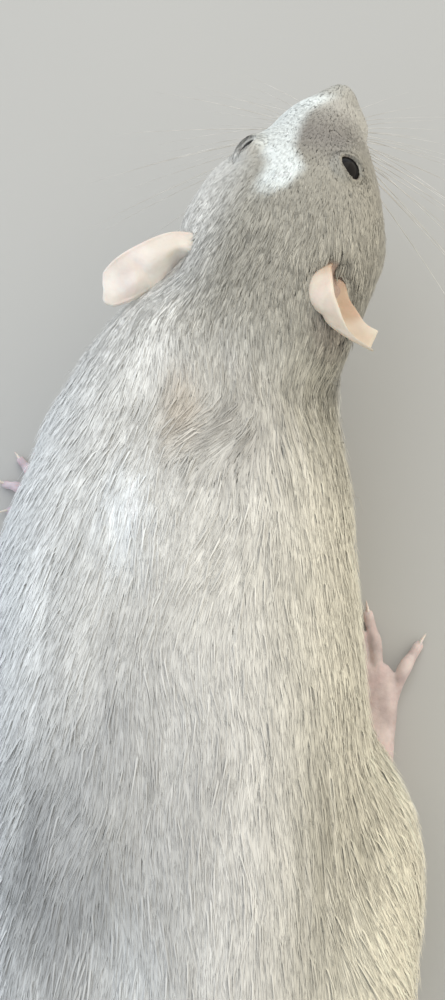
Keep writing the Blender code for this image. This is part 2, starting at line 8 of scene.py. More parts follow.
import math

import bmesh
import bpy
import numpy as np
from mathutils import Matrix, Vector
from mathutils.bvhtree import BVHTree
from mathutils.kdtree import KDTree


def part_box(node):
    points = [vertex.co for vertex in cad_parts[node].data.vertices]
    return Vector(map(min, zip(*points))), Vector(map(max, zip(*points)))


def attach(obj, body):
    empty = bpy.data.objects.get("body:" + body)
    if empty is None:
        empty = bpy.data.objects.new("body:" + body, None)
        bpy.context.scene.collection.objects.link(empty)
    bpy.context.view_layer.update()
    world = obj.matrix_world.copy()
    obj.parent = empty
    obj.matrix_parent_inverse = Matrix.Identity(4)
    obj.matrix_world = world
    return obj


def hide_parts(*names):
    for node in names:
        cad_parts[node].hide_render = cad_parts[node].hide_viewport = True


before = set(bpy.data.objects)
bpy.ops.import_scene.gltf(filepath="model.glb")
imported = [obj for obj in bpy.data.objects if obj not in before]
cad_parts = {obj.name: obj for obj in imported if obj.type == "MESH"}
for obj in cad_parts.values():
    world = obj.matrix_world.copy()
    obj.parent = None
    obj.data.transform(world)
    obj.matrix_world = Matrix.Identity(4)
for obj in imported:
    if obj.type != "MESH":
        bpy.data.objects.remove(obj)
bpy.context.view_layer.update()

MM = 0.001
SIDES = ("right", "left")
FLESH = ("head", "neck", "torso", "foreleg_left", "foreleg_right", "hind_leg_left", "hind_leg_right")
BARE = ("forefoot_left", "forefoot_right", "hind_foot_left", "hind_foot_right", "ear_left", "ear_right")
TAIL = ("tail_base", "tail_middle", "tail_end", "tail_tip")

# The head's frame, as in the part's source, and what sits in it. The left eye is 0.8 mm further ahead
HEAD_TOP = (13.6, 110.2, 50.4)
HEAD_YAW, HEAD_PITCH, HEAD_ROLL = -17.5, 0.5, -11.7  # degrees: turned right, level, right side up
EYE_AT = {"right": (7.6, 19.9, -7.8), "left": (7.7, 20.7, -7.8)}
EYE_RADIUS = 3.2
EYE_OUTWARD = (0.74, 0.22, 0.64)  # the way the right eye looks
EYE_OPENING = {"right": (2.15, 1.4), "left": (1.8, 1.05)}  # half its length and half its width
# The way each eye's slit faces, seen from the right of the head
SLIT_OUTWARD = {"right": (0.65, 0.17, 0.74), "left": (0.74, 0.15, 0.66)}
SLIT_TURN = {"right": 57.0, "left": 70.0}  # how far its front corner is raised, in degrees
NOSE_TIP, NOSE_TURN = (0.8, 41.8, -14.8), 0.8  # where it ends, and how far its tip is bent to the right
LEFT_CHEEK = 1.9  # how much fuller the left cheek is
# Each ear from root to tip: upper edge, middle of its back and lower edge, each as right, ahead, up
EAR = {
    "right": [
        (11.5, 1.5, -8.4, 8.8, 1.2, -8.8, 12.4, 0.1, -9.6),
        (11.6, 2.8, -7.3, 7.9, 1.5, -6.6, 13.4, 0.7, -8.7),
        (12.6, -0.0, -3.2, 7.8, -1.4, -5.3, 14.2, 0.3, -8.4),
        (14.4, -4.3, -0.4, 8.8, -4.2, -5.0, 14.9, -0.9, -8.6),
        (16.2, -7.7, 0.6, 10.9, -6.8, -4.9, 16.2, -2.9, -8.7),
        (17.6, -10.2, -0.4, 14.2, -8.8, -5.2, 18.3, -5.4, -7.8),
        (19.6, -11.5, -2.6, 17.9, -10.2, -6.0, 20.5, -7.4, -6.4),
        (22.8, -12.4, -4.6, 21.8, -11.1, -6.4, 22.3, -8.6, -5.2),
    ],
    "left": [
        (11.0, 3.2, -7.4, 9.6, 0.0, -7.6, 11.0, -0.4, -10.0),
        (13.8, 3.2, -5.8, 12.2, -0.2, -5.8, 13.8, -0.2, -9.0),
        (16.5, 2.3, -4.8, 14.7, -0.9, -4.6, 15.5, -1.4, -8.6),
        (18.7, 0.4, -3.8, 16.5, -3.2, -4.2, 16.5, -4.6, -8.8),
        (20.8, -2.0, -3.0, 18.4, -5.5, -4.0, 18.2, -7.4, -8.4),
        (22.7, -4.2, -2.6, 20.3, -7.5, -4.2, 19.6, -9.5, -7.6),
        (24.7, -6.4, -2.8, 22.6, -9.2, -4.6, 21.2, -11.4, -6.4),
        (25.8, -9.1, -3.6, 24.6, -11.4, -4.6, 23.3, -13.3, -5.6),
    ],
}
EAR_ROUNDING = {"right": 0.02, "left": 0.1}  # how far the corners of its end draw back
EAR_THICKNESS = 0.6
EAR_RIM, EAR_FOLD, EAR_CREASE, EAR_LOBE, EAR_RIPPLE = 0.3, 0.22, 0.5, 0.9, 0.12  # how far out or in
EAR_HOLLOW, EAR_HOLLOW_RADIUS, EAR_HOLLOW_DEPTH = (13.9, 0.8, -6.5), 2.0, 2.0
# The bare skin inside the right ear lies from its hollow to each of these
BOWL_FRONT, BOWL_END = (12.2, 0.0, -5.0), (16.0, -5.0, -8.3)

# Muzzle and lids: places in the head's frame, and how far each form reaches and stands out or in
PAD_AT, PAD_REACH, PAD_RISE = (0.0, 41.0, -14.6), (2.0, 1.8, 1.5), 0.35
NOSTRIL_ACROSS, NOSTRIL_UP, NOSTRIL_REACH, NOSTRIL_DEPTH = 1.5, -15.0, (0.55, 0.6), 0.9
CLEFT_WIDTH, CLEFT_DEPTH = 0.32, 0.5
MOUTH_MIDDLE, MOUTH_TURN, MOUTH_DROP = (0.0, 25.0, -20.6), 84.0, 1.6
MOUTH_WIDTH, MOUTH_DEPTH = 0.36, 0.75
LID_REACH, LID_THICKNESS, LID_RIM, SLIT_DEPTH = 7.0, 0.3, 0.14, 1.2
LID_CLEARANCE = 0.35  # keeps the eye from showing through the skin beside its slit

# Feet and tail, as in the part's source but for finer claws and a right forefoot 1.4 mm nearer the middle
# Each foot from heel to toes: right, ahead, up, half width, height above and below, squareness (2 is round)
HIND_FOOT = [
    (-1.4, -2.2, 4.4, 2.2, 2.4, 3.4, 2.0),
    (-1.2, 1.0, 4.6, 3.4, 3.8, 5.0, 2.2),
    (-0.9, 6.5, 3.6, 3.9, 3.4, 4.2, 2.3),
    (-0.6, 12.5, 3.2, 4.3, 2.7, 3.8, 2.4),
    (-0.3, 18.5, 2.9, 4.9, 2.3, 3.5, 2.5),
    (-0.1, 23.5, 2.7, 4.8, 1.8, 3.2, 2.4),
    (-0.1, 26.2, 2.4, 3.4, 1.3, 2.6, 2.0),
]
FORE_FOOT = [
    (0.0, -8.4, 9.8, 2.0, 2.0, 2.0, 2.0),
    (0.0, -6.6, 8.0, 2.7, 2.6, 2.6, 2.0),
    (0.0, -4.0, 5.2, 2.7, 2.4, 2.8, 2.1),
    (0.0, -1.0, 2.8, 3.2, 2.3, 3.4, 2.3),
    (0.1, 2.4, 2.1, 3.4, 1.8, 2.8, 2.3),
    (0.1, 4.6, 1.9, 2.4, 1.2, 2.4, 2.0),
]
# Each toe: root, knuckle and tip, then the radius at root and tip
HIND_TOES = [
    ((-4.4, 15.5, 2.6), (-7.0, 19.6, 2.6), (-8.4, 23.6, 0.9), 1.35, 0.85),
    ((-3.2, 22.0, 2.7), (-4.8, 28.6, 3.2), (-6.0, 34.2, 0.9), 1.5, 0.9),
    ((-0.9, 23.4, 2.8), (-1.7, 30.6, 3.4), (-2.3, 36.8, 0.9), 1.55, 0.9),
    ((1.5, 22.8, 2.7), (1.1, 30.0, 3.3), (0.4, 36.0, 0.9), 1.5, 0.9),
    ((3.4, 19.6, 2.6), (6.4, 25.6, 3.0), (9.4, 30.0, 0.9), 1.45, 0.85),
]
FORE_TOES = [
    ((-1.9, 3.0, 1.9), (-2.9, 6.4, 2.3), (-3.3, 9.0, 0.7), 1.05, 0.68),
    ((-0.5, 3.8, 2.0), (-0.7, 7.9, 2.4), (-0.7, 11.2, 0.7), 1.1, 0.68),
    ((1.2, 3.2, 1.9), (2.9, 6.4, 2.3), (4.4, 8.8, 0.7), 1.1, 0.68),
    ((2.2, 1.4, 1.8), (4.6, 2.8, 2.1), (6.8, 3.9, 0.7), 1.05, 0.68),
]
HIND_CLAW, FORE_CLAW = (2.6, 0.5), (1.9, 0.42)  # length and radius at the root
# Where each foot stands: right, ahead, turn in degrees (positive turns its toes to the rat's left)
HIND_STAND = {"right": (35.0, 24.8, 1.0), "left": (-37.4, 22.0, 6.0)}
FORE_STAND = {"right": (22.2, 83.0, -6.0), "left": (-24.6, 81.6, 36.0)}
# The underside of the tail from root to tip, at even steps of its length
TAIL_PATH = [
    (-3.3, -40.0, 12.6),
    (-3.3, -49.0, 10.4),
    (-3.5, -58.0, 6.2),
    (-3.8, -67.0, 2.2),
    (-3.8, -77.0, 0.0),
    (-2.8, -89.0, -0.5),
    (0.6, -106.0, -0.45),
    (7.0, -124.0, -0.4),
    (16.5, -141.0, -0.35),
    (28.5, -156.5, -0.3),
    (42.0, -170.0, -0.25),
    (56.0, -181.0, -0.2),
]
TAIL_ROOT_RADIUS, TAIL_TIP_RADIUS = 5.0, 1.0
TAIL_ROOT = (-3.4, -56.0, 14.0)
TAIL_SCALE_RINGS = 150  # rings of scales from root to tip, about 1.1 mm each
SCALE_STEP = 0.03  # how much wider a ring's hind edge is than its front edge, as a share

# Skin
JOIN_GROW = 0.3  # closes the gaps between the solids
# Cells that fuse solids into a skin, rounds of smoothing after that, and triangles that are kept
CORE_VOXEL, CORE_ROUNDS = 0.8, 24
SKIN_VOXEL, SKIN_ROUNDS = 0.62, 4
CORE_TRIANGLES, HIND_FOOT_TRIANGLES, FOREFOOT_TRIANGLES = 125000, 9000, 6000
HIND_FOOT_VOXEL, FOREFOOT_VOXEL = 0.26, 0.2
FLOOR_GAP = 0.02  # feet and tail stay this far above the floor

# Coat: depth from the skin to the tips, and the hair's length and width
BODY_DEPTH, HEAD_DEPTH, FACE_DEPTH, ANKLE_DEPTH = 2.1, 1.6, 0.55, 0.5
BODY_HAIR, HEAD_HAIR, FACE_HAIR = (12.5, 0.41), (5.0, 0.25), (1.9, 0.16)
TUFT_COUNT = 238000  # before those over the eyes and in the ear are left out
BEND = 0.5  # how far along a tuft its bend is
RISE = 2.5  # how soon a tuft rises to its full height: the more, the nearer its root
ROUNDNESS = 0.1  # how round light shows a tuft
STRAY_SHARE, FRINGE_SHARE, DARK_SHARE = 0.04, 0.13, 0.12  # that stand off, also on the flanks, or are dark
LOCK_TUFTS, LOCK_PULL, LOCK_REACH = 12, (0.12, 0.32), 1.6  # tufts in a lock, and how they lean to its middle
TONE_SPREAD = 0.045  # how much locks differ in tone, and the tufts in them
PATCH_HALF = 0.0015  # half the size of a tuft's patch on the unwrap
COAT_PIECE_TRIANGLES = 190000
# Coat pieces from the nose back: name, slot, if it is measured in the head's frame, and where it ends
COAT_PARTS = (
    ("coat_face", "hood_coat", True, 10.0),
    ("coat_crown", "hood_coat", True, -6.0),
    ("coat_neck", "hood_coat", False, 92.0),
    ("coat_shoulders", "body_coat", False, 64.0),
    ("coat_chest", "body_coat", False, 34.0),
    ("coat_loin", "body_coat", False, 6.0),
    ("coat_haunches", "body_coat", False, -math.inf),
)
SEED = 20
WHISKER_ROWS = 5  # and as many whiskers in each

# The blaze in the head's frame: at places ahead, the middle of its width and half of that width
BLAZE_AHEAD = (8.0, 12.0, 17.0, 21.5, 26.0, 31.0, 35.0, 38.0, 41.0)
BLAZE_MIDDLE = (-2.6, -1.6, -0.9, -4.0, -5.0, -5.0, -2.8, -0.8, 0.0)
BLAZE_HALF = (0.6, 2.4, 3.0, 2.8, 3.1, 3.4, 2.7, 2.2, 2.4)
# Places right and ahead on the back, and how far the marking there reaches across and along; the saddle's
# grey is partly painted shade in the crease at the parting
SADDLE_AND_CREASE, WASH, BEIGE_SPOT = ((7.0, 76.0), (13.0, 9.0)), ((-6.0, 16.0), (14.0, 24.0)), ((1.4, 81.0), (3.2, 7.0))
PARTING = ((6.5, 78.5), (5.5, 4.5))  # left of here the hair sweeps to the side

# The photo's view, in the rat's frame
CAMERA_AT, CAMERA_DOWN, CAMERA_PIXELS = (8.0, -1.6, 255.0), 71.6, 1417.0
PHOTO_HEIGHT, SENSOR = 1000.0, 36.0


def smooth(low, high, value):
    """0 below low, 1 above high, and an easy curve between, for numbers or arrays."""
    share = np.clip((value - low) / (high - low), 0.0, 1.0)
    return share * share * (3 - 2 * share)


def bell(away, width):
    """1 where nothing away, falling off softly over a width, for numbers or arrays."""
    return np.exp(-((away / width) ** 2))


def soft_spot(points, middle, reach):
    """A soft round patch seen from above: 1 at its middle, fading over its reach across and along."""
    away = (points[:, :2] - np.array(middle)) / np.array(reach)
    return np.exp(-np.sum(away * away, axis=1))


def turned_frame(middle, yaw, pitch=0.0, roll=0.0):
    """A frame at a place, rolled, pitched and then turned by angles in degrees."""
    turn = (
        Matrix.Rotation(math.radians(yaw), 4, "Z")
        @ Matrix.Rotation(math.radians(pitch), 4, "X")
        @ Matrix.Rotation(math.radians(roll), 4, "Y")
    )
    return Matrix.Translation(Vector(middle)) @ turn


HEAD = turned_frame(HEAD_TOP, HEAD_YAW, HEAD_PITCH, HEAD_ROLL)
LEFT = Matrix.Diagonal((-1.0, 1.0, 1.0, 1.0))


def side_frame(side):
    """Mirrors what is made for the right side where the left one is wanted."""
    return Matrix.Identity(4) if side == "right" else LEFT


def eye_frame(side, outward=EYE_OUTWARD, raised=0.0):
    """The frame of an eye: it looks along its own third axis, and its slit runs along the first."""
    out = Vector(outward).normalized()
    slit = Vector((0, 1, -0.12))
    slit = Matrix.Rotation(math.radians(raised), 3, out) @ (slit - out * slit.dot(out)).normalized()
    up = out.cross(slit)
    turn = Matrix((slit, up, out)).transposed().to_4x4()
    return HEAD @ side_frame(side) @ Matrix.Translation(Vector(EYE_AT[side])) @ turn


def near_hollow(points, end=None):
    """How far points are from the hollow in front of the nearer ear, or from the line from it to an end."""
    inside = in_head(points)
    start = np.array(EAR_HOLLOW)
    line = np.zeros(3) if end is None else np.array(end) - start
    nearest = np.full(len(points), np.inf)
    for mirror in ((1, 1, 1), (-1, 1, 1)):
        out = inside * mirror - start
        along = np.clip(out @ line / max(line @ line, 1e-9), 0.0, 1.0)
        nearest = np.minimum(nearest, np.linalg.norm(out - along[:, None] * line, axis=1))
    return nearest


def near_bowl(points):
    """How far each point is from the bare skin inside the right ear. The left ear is folded over its own."""
    near = np.minimum(near_hollow(points, BOWL_FRONT), near_hollow(points, BOWL_END))
    return near + 6.0 * (in_head(points)[:, 0] < 0)


def lid_frame(side):
    """The frame of the slit between an eye's lids."""
    return eye_frame(side, SLIT_OUTWARD[side], SLIT_TURN[side])


def rat_place():
    """Carries the rat's frame in millimetres to the row frame in metres: half a turn, then by the eye."""
    low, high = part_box("eye_right")
    turn = Matrix.Rotation(math.pi, 4, "Z") @ Matrix.Scale(MM, 4)
    shift = (low + high) / 2 - turn @ eye_frame("right").translation
    return Matrix.Translation((shift.x, shift.y, 0.0)) @ turn


PLACE = rat_place()
BACK = PLACE.inverted()


def moved(points, matrix):
    """An array of points carried by a matrix."""
    m = np.array(matrix)
    return points @ m[:3, :3].T + m[:3, 3]


def in_head(points):
    """Points of the rat's frame in the head's frame."""
    return moved(points, HEAD.inverted())


def unit(vectors):
    """Vectors brought to a length of 1."""
    return vectors / np.maximum(np.linalg.norm(vectors, axis=1, keepdims=True), 1e-9)


def numbers(items, field, each, kind=np.float32):
    """What a field holds for every item of a mesh, as an array with a row for each item."""
    values = np.empty(len(items) * each, kind)
    items.foreach_get(field, values)
    return values.reshape(-1, each)


def points_of(mesh):
    return numbers(mesh.vertices, "co", 3).astype(float)


def normals_of(mesh):
    return numbers(mesh.vertex_normals, "vector", 3).astype(float)


def set_points(mesh, points):
    mesh.vertices.foreach_set("co", points.astype(np.float32).ravel())
    mesh.update()


# Making shapes


def along_table(stations, place):
    """The row at a fractional place along a table, on a Catmull-Rom curve through all of its columns."""
    last = len(stations) - 1
    step = min(int(place), last - 1)
    share = place - step
    rows = [stations[max(0, min(last, step + k))] for k in (-1, 0, 1, 2)]
    found = []
    for before, start, end, after in zip(*rows):
        square, cube = share**2, share**3
        found.append(
            (2 * cube - 3 * square + 1) * start
            + (cube - 2 * square + share) * (end - before) / 2
            + (3 * square - 2 * cube) * end
            + (cube - square) * (after - start) / 2
        )
    return found


def section_point(turn, half_width, above, below, squareness):
    """A point of a section, across and up, at a turn about its middle."""
    c, s = math.cos(turn), math.sin(turn)
    across = half_width * math.copysign(abs(c) ** (2 / squareness), c)
    up = (above if s > 0 else below) * math.copysign(abs(s) ** (2 / squareness), s)
    return across, up


def facing_out(bm):
    """Turns all faces of a closed form outward."""
    bmesh.ops.recalc_face_normals(bm, faces=bm.faces)
    if bm.calc_volume(signed=True) < 0:
        bmesh.ops.reverse_faces(bm, faces=bm.faces)
    return bm


def lofted(stations, sides, rings, swell=None):
    """A closed round form through sections along a curve: a sphere whose rings are moved onto them."""
    bm = bmesh.new()
    bmesh.ops.create_uvsphere(bm, u_segments=sides, v_segments=rings + 1, radius=1.0)
    last = len(stations) - 1
    for vert in bm.verts:
        ring = round(math.acos(max(-1.0, min(1.0, vert.co.z))) / math.pi * (rings + 1))
        share = min(max(ring - 1, 0), rings - 1) / (rings - 1)
        place = last * share
        here = along_table(stations, place)
        ahead = Vector(along_table(stations, min(last, place + 0.05))[:3])
        behind = Vector(along_table(stations, max(0.0, place - 0.05))[:3])
        along = (ahead - behind).normalized()
        side = along.cross(Vector((0, 0, 1))).normalized()
        up = side.cross(along)
        if 0 < ring < rings + 1:
            turn = math.atan2(vert.co.y, vert.co.x)
            grow = 1.0 if swell is None else swell(share)
            across, lift = section_point(turn, *[size * grow for size in here[3:6]], here[6])
            vert.co = Vector(here[:3]) + side * across + up * lift
        else:
            vert.co = Vector(here[:3])
    return facing_out(bm)


def round_row(point, radius):
    """A round section at a point, as lofted() takes it."""
    return (*point, radius, radius, radius, 2.0)


def thing(name, bm):
    """A new object in the scene from a bmesh, which is freed."""
    mesh = bpy.data.meshes.new(name)
    bm.to_mesh(mesh)
    bm.free()
    made = bpy.data.objects.new(name, mesh)
    bpy.context.scene.collection.objects.link(made)
    return made


def gathered(name, parts):
    """One object that holds several bmeshes, each still a shell of its own."""
    whole = bmesh.new()
    for part in parts:
        piece = bpy.data.meshes.new(name)
        part.to_mesh(piece)
        part.free()
        whole.from_mesh(piece)
        bpy.data.meshes.remove(piece)
    return thing(name, whole)


def surface_of(made):
    """An object's surface as a tree that finds the nearest place on it."""
    bm = bmesh.new()
    bm.from_mesh(made.data)
    surface = BVHTree.FromBMesh(bm)
    bm.free()
    return surface


def applied(made):
    """Replaces an object's mesh by what its modifiers make of it."""
    graph = bpy.context.evaluated_depsgraph_get()
    new = bpy.data.meshes.new_from_object(made.evaluated_get(graph))
    old = made.data
    made.modifiers.clear()
    made.data = new
    bpy.data.meshes.remove(old)
    return made


def remeshed(made, voxel, rounds):
    """Fuses an object's shells into one smooth skin."""
    fuse = made.modifiers.new("fuse", "REMESH")
    fuse.mode = "VOXEL"
    fuse.voxel_size = voxel
    soften = made.modifiers.new("soften", "SMOOTH")
    soften.factor = 0.5
    soften.iterations = rounds
    return applied(made)


def thinned(made, triangles):
    """Brings an object down to about so many triangles."""
    thin = made.modifiers.new("thin", "DECIMATE")
    thin.ratio = min(1.0, triangles / sum(len(p.vertices) - 2 for p in made.data.polygons))
    return applied(made)


def fused(made, other):
    """Joins another closed object to this one by a Boolean union."""
    step = made.modifiers.new("step", "BOOLEAN")
    step.operation = "UNION"
    step.object = other
    step.solver = "MANIFOLD"
    applied(made)
    bpy.data.objects.remove(other)
    return made


def cut_flat(made, floor):
    """Presses a form's underside onto a level."""
    points = points_of(made.data)
    points[:, 2] = np.maximum(points[:, 2], floor)
    set_points(made.data, points)
    return made


# The skin


def copy_in_rat_frame(name, grow):
    """A node's mesh as a bmesh in the rat's frame, closed again and grown outward."""
    bm = bmesh.new()
    bm.from_mesh(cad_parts[name].data)
    bmesh.ops.remove_doubles(bm, verts=bm.verts, dist=1e-6)
    bmesh.ops.transform(bm, matrix=BACK, verts=bm.verts)
    bm.normal_update()
    shifts = [vert.normal * grow for vert in bm.verts]
    for vert, shift in zip(bm.verts, shifts):
        vert.co += shift
    return bm


def near_feet(points):
    """How close each point is to a foot: 1 at it, 0 well away."""
    close = np.zeros(len(points))
    for stand, reach in ((HIND_STAND, 13.0), (FORE_STAND, 10.0)):
        for right, ahead, _ in stand.values():
            spot = np.array((right, ahead, 5.0))
            away = np.linalg.norm((points - spot) * (1.0, 1.0, 0.9), axis=1)
            close = np.maximum(close, 1 - smooth(3.0, reach, away))
    return close


def coat_depth(points):
    """How deep the skin lies under the tips of the coat, in millimetres."""
    inside = in_head(points)
    face = smooth(4.0, 24.0, inside[:, 1])
    depth = BODY_DEPTH + (HEAD_DEPTH - BODY_DEPTH) * smooth(-26.0, 0.0, inside[:, 1])
    depth = depth + (FACE_DEPTH - depth) * face
    depth *= 1 - 0.75 * smooth(34.0, 40.0, inside[:, 1])
    tail = np.linalg.norm(points - np.array(TAIL_ROOT), axis=1)
    depth = depth + (ANKLE_DEPTH - depth) * (1 - smooth(3.0, 22.0, tail))
    return depth + (ANKLE_DEPTH - depth) * near_feet(points)


def flesh_core():
    """The body without its coat: the solids fused, softened and drawn in by the coat's depth."""
    parts = [copy_in_rat_frame(name, JOIN_GROW) for name in (*FLESH, "eye_left", "eye_right")]
    core = remeshed(gathered("skin", parts), CORE_VOXEL, CORE_ROUNDS)
    points, normals = points_of(core.data), normals_of(core.data)
    depth = coat_depth(points) + JOIN_GROW
    set_points(core.data, points - normals * depth[:, None])
    return remeshed(core, SKIN_VOXEL, SKIN_ROUNDS)


def finer_face(made):
    """Splits the faces of the muzzle and round the eyes, where the small folds need them."""
    bm = bmesh.new()
    bm.from_mesh(made.data)
    inverse = HEAD.inverted()
    eyes = [eye_frame(side).translation for side in SIDES]

    def wanted(edge, reach):
        middle = (edge.verts[0].co + edge.verts[1].co) / 2
        return (inverse @ middle).y > 22 and reach > 0.3 or min((middle - eye).length for eye in eyes) < 6.0

    for reach in (0.6, 0.3):
        edges = [edge for edge in bm.edges if wanted(edge, reach)]
        bmesh.ops.subdivide_edges(bm, edges=edges, cuts=1, use_grid_fill=True)
        bmesh.ops.triangulate(bm, faces=[face for face in bm.faces if len(face.verts) > 4])
    bm.to_mesh(made.data)
    bm.free()
    return made


def shaped_lids(points):
    """Lays the skin over each eye as two lids with a slit between them, its rim a little raised."""
    for side in SIDES:
        inside = moved(points, lid_frame(side).inverted())
        away = np.linalg.norm(inside, axis=1)
        outward = unit(inside)
        facing = inside[:, 2] > 0
        slit = slit_distance(inside, side)
        near = (away < LID_REACH) & facing
        lid = EYE_RADIUS + LID_THICKNESS + LID_RIM * bell(slit - 1.12, 0.16)
        lid = np.where(slit < 1.0, EYE_RADIUS - SLIT_DEPTH * smooth(1.0, 0.75, slit), lid)
        blend = 1 - smooth(1.35, 2.5, slit)
        target = np.where(slit < 1.35, lid, np.maximum(away, lid * blend + away * (1 - blend)))
        target = away + (target - away) * np.where(near, 1 - smooth(2.0, 2.6, slit), 0.0)
        target = np.where((slit < 1.35) & facing, target, np.maximum(target, EYE_RADIUS + LID_CLEARANCE))
        laid = moved(outward * target[:, None], lid_frame(side))
        points = np.where((away < LID_REACH)[:, None], laid, points)
    return points


def shaped_muzzle(points, normals):
    """Presses in the nostrils, the cleft of the lip and the line of the mouth, and raises the nose pad."""
    inside = in_head(points)
    inside[:, 0] -= 0.7 * bell(inside[:, 1] - 33.0, 4.0)
    inside[:, 0] *= 1 - smooth(35.0, 40.0, inside[:, 1]) * np.where(inside[:, 0] < 0, 0.36, 0.12)
    nose = smooth(37.5, 41.0, inside[:, 1])
    inside[:, 0] += NOSE_TURN * nose
    inside[:, 1] += 0.6 * nose
    points = moved(inside, HEAD)
    shift = np.zeros(len(points))
    across = np.abs(inside[:, 0] - NOSE_TURN * nose)
    out = (np.column_stack([across, inside[:, 1:]]) - np.array(PAD_AT)) / np.array(PAD_REACH)
    shift += PAD_RISE * np.exp(-np.sum(out * out, axis=1))
    nostril = bell(across - NOSTRIL_ACROSS, NOSTRIL_REACH[0]) * smooth(37.5, 39.5, inside[:, 1])
    shift -= NOSTRIL_DEPTH * nostril * bell(inside[:, 2] - NOSTRIL_UP, NOSTRIL_REACH[1])
    cleft = bell(across, CLEFT_WIDTH) * smooth(37.0, 39.0, inside[:, 1])
    cleft *= smooth(-20.6, -19.4, inside[:, 2]) * (1 - smooth(-15.6, -14.6, inside[:, 2]))
    shift -= CLEFT_DEPTH * cleft
    out = inside - np.array(MOUTH_MIDDLE)
    turn = np.degrees(np.arctan2(np.abs(out[:, 0]), out[:, 1]))
    line = MOUTH_MIDDLE[2] - MOUTH_DROP * (turn / MOUTH_TURN) ** 2
    mouth = bell(inside[:, 2] - line, MOUTH_WIDTH) * (1 - smooth(MOUTH_TURN - 16, MOUTH_TURN, turn))
    shift -= MOUTH_DEPTH * mouth * smooth(20.0, 24.0, inside[:, 1])
    shift -= EAR_HOLLOW_DEPTH * np.exp(-((near_hollow(points) / EAR_HOLLOW_RADIUS) ** 2) * 1.4)
    cheek = smooth(-9.0, -14.0, inside[:, 0]) * bell(inside[:, 2] + 13.0, 7.0)
    cheek *= smooth(25.0, 20.0, inside[:, 1]) * smooth(-1.0, 8.0, inside[:, 1])
    shift += LEFT_CHEEK * cheek
    return points + normals * shift[:, None]


def ear_leaf(side):
    """A thin cupped leaf with a rolled rim and soft folds, sunk into the head."""
    bm = bmesh.new()
    bmesh.ops.create_grid(bm, x_segments=44, y_segments=50, size=0.5)
    rows = EAR[side]
    for vert in bm.verts:
        swing, share = 2 * vert.co.x, vert.co.y + 0.5
        share -= EAR_ROUNDING[side] * max(0.0, abs(swing) - 0.3) ** 2 * max(0.0, (share - 0.6) / 0.4)
        row = along_table(rows, (len(rows) - 1) * share)
        upper, back, lower = Vector(row[:3]), Vector(row[3:6]), Vector(row[6:9])
        middle = (upper + lower) / 2
        point = back + (upper - lower) * swing / 2 + (middle - back) * swing**2
        inner = 1 - swing * swing
        raised = EAR_RIM * bell(abs(swing) - 0.94, 0.07)
        raised += EAR_FOLD * math.sin(6.0 * swing + 1.2) * bell(share - 0.35, 0.2)
        raised -= EAR_CREASE * bell(share - 0.62 - 0.12 * swing, 0.04) * inner
        raised += EAR_LOBE * smooth(0.62, 0.74, share) * smooth(0.3, -0.3, swing) * inner
        raised += EAR_RIPPLE * math.sin(21.0 * share + 3.0 * swing) * swing * swing
        vert.co = point + (back - middle).normalized() * float(raised)
    bmesh.ops.solidify(bm, geom=bm.faces[:], thickness=EAR_THICKNESS)
    bmesh.ops.transform(bm, matrix=HEAD @ side_frame(side), verts=bm.verts)
    facing_out(bm)
    every_way = {"use_axis_x": True, "use_axis_y": True, "use_axis_z": True}
    for _ in range(2):
        bmesh.ops.smooth_vert(bm, verts=bm.verts, factor=0.4, **every_way)
    return thing("ear_" + side, bm)


def capsule(start, knuckle, tip, root_radius, tip_radius):
    """A toe: a round form bent at its knuckle, fuller at the joint and under the tip."""
    middle_radius = (root_radius + tip_radius) / 2
    half = [(a + b) / 2 for a, b in zip(start, knuckle)]
    far = [(a + b) / 2 for a, b in zip(knuckle, tip)]
    end = Vector(tip) + (Vector(tip) - Vector(knuckle)).normalized() * tip_radius * 0.7
    rows = [
        round_row(start, root_radius),
        round_row(half, middle_radius - 0.04),
        round_row(knuckle, middle_radius + 0.14),
        round_row(far, (middle_radius + tip_radius) / 2 - 0.04),
        round_row(tip, tip_radius + 0.06),
        round_row(end, tip_radius * 0.6),
    ]
    return lofted(rows, 16, 26)


def foot_frame(side, stand):
    """The frame of a foot where it stands, mirrored on the left."""
    right, ahead, turn = stand[side]
    matrix = turned_frame((right, ahead, 0.0), turn)
    return matrix if side == "right" else matrix @ LEFT


def foot(side, name, stand, palm, toes, voxel, triangles):
    """A foot with its toes, flat under its pads, with a short ankle that reaches up into the leg."""
    parts = [lofted(palm, 28, 36)] + [capsule(*toe) for toe in toes]
    heel = palm[1]
    ankle = [
        (heel[0], heel[1] + 1.2, 4.0, 2.6, 2.4, 2.4, 2.0),
        (heel[0] - 0.8, heel[1] + 2.2, 8.0, 2.9, 2.8, 2.8, 2.0),
        (heel[0] - 1.6, heel[1] + 4.0, 12.5, 3.0, 2.8, 2.8, 2.0),
    ]
    if palm is HIND_FOOT:
        parts.append(lofted(ankle, 20, 14))
    made = thinned(remeshed(gathered(name, parts), voxel, 3), triangles)
    made.data.transform(foot_frame(side, stand))
    if side == "left":
        made.data.flip_normals()
    return cut_flat(made, FLOOR_GAP)


def claw(knuckle, tip, size):
    """A curved claw from a toe's tip: it starts inside the toe, rises a little and points down."""
    length, radius = size
    along = Vector(tip) - Vector(knuckle)
    along = Vector((along.x, along.y, 0.0)).normalized()
    start = Vector(tip) + Vector((0, 0, radius * 0.7))
    # Shares of its length along it and up, and of its radius
    curve = ((-0.25, -0.1, 0.95), (0.2, 0.22, 0.9), (0.6, 0.2, 0.6), (0.85, 0.02, 0.34), (1.0, -0.16, 0.1))
    rows = []
    for share, lift, thick in curve:
        point = start + along * (length * share) + Vector((0, 0, length * 0.5 * lift))
        point.z = max(point.z, radius * thick + 0.05)
        rows.append((*point, radius * thick * 0.7, radius * thick, radius * thick, 2.0))
    return lofted(rows, 10, 14)


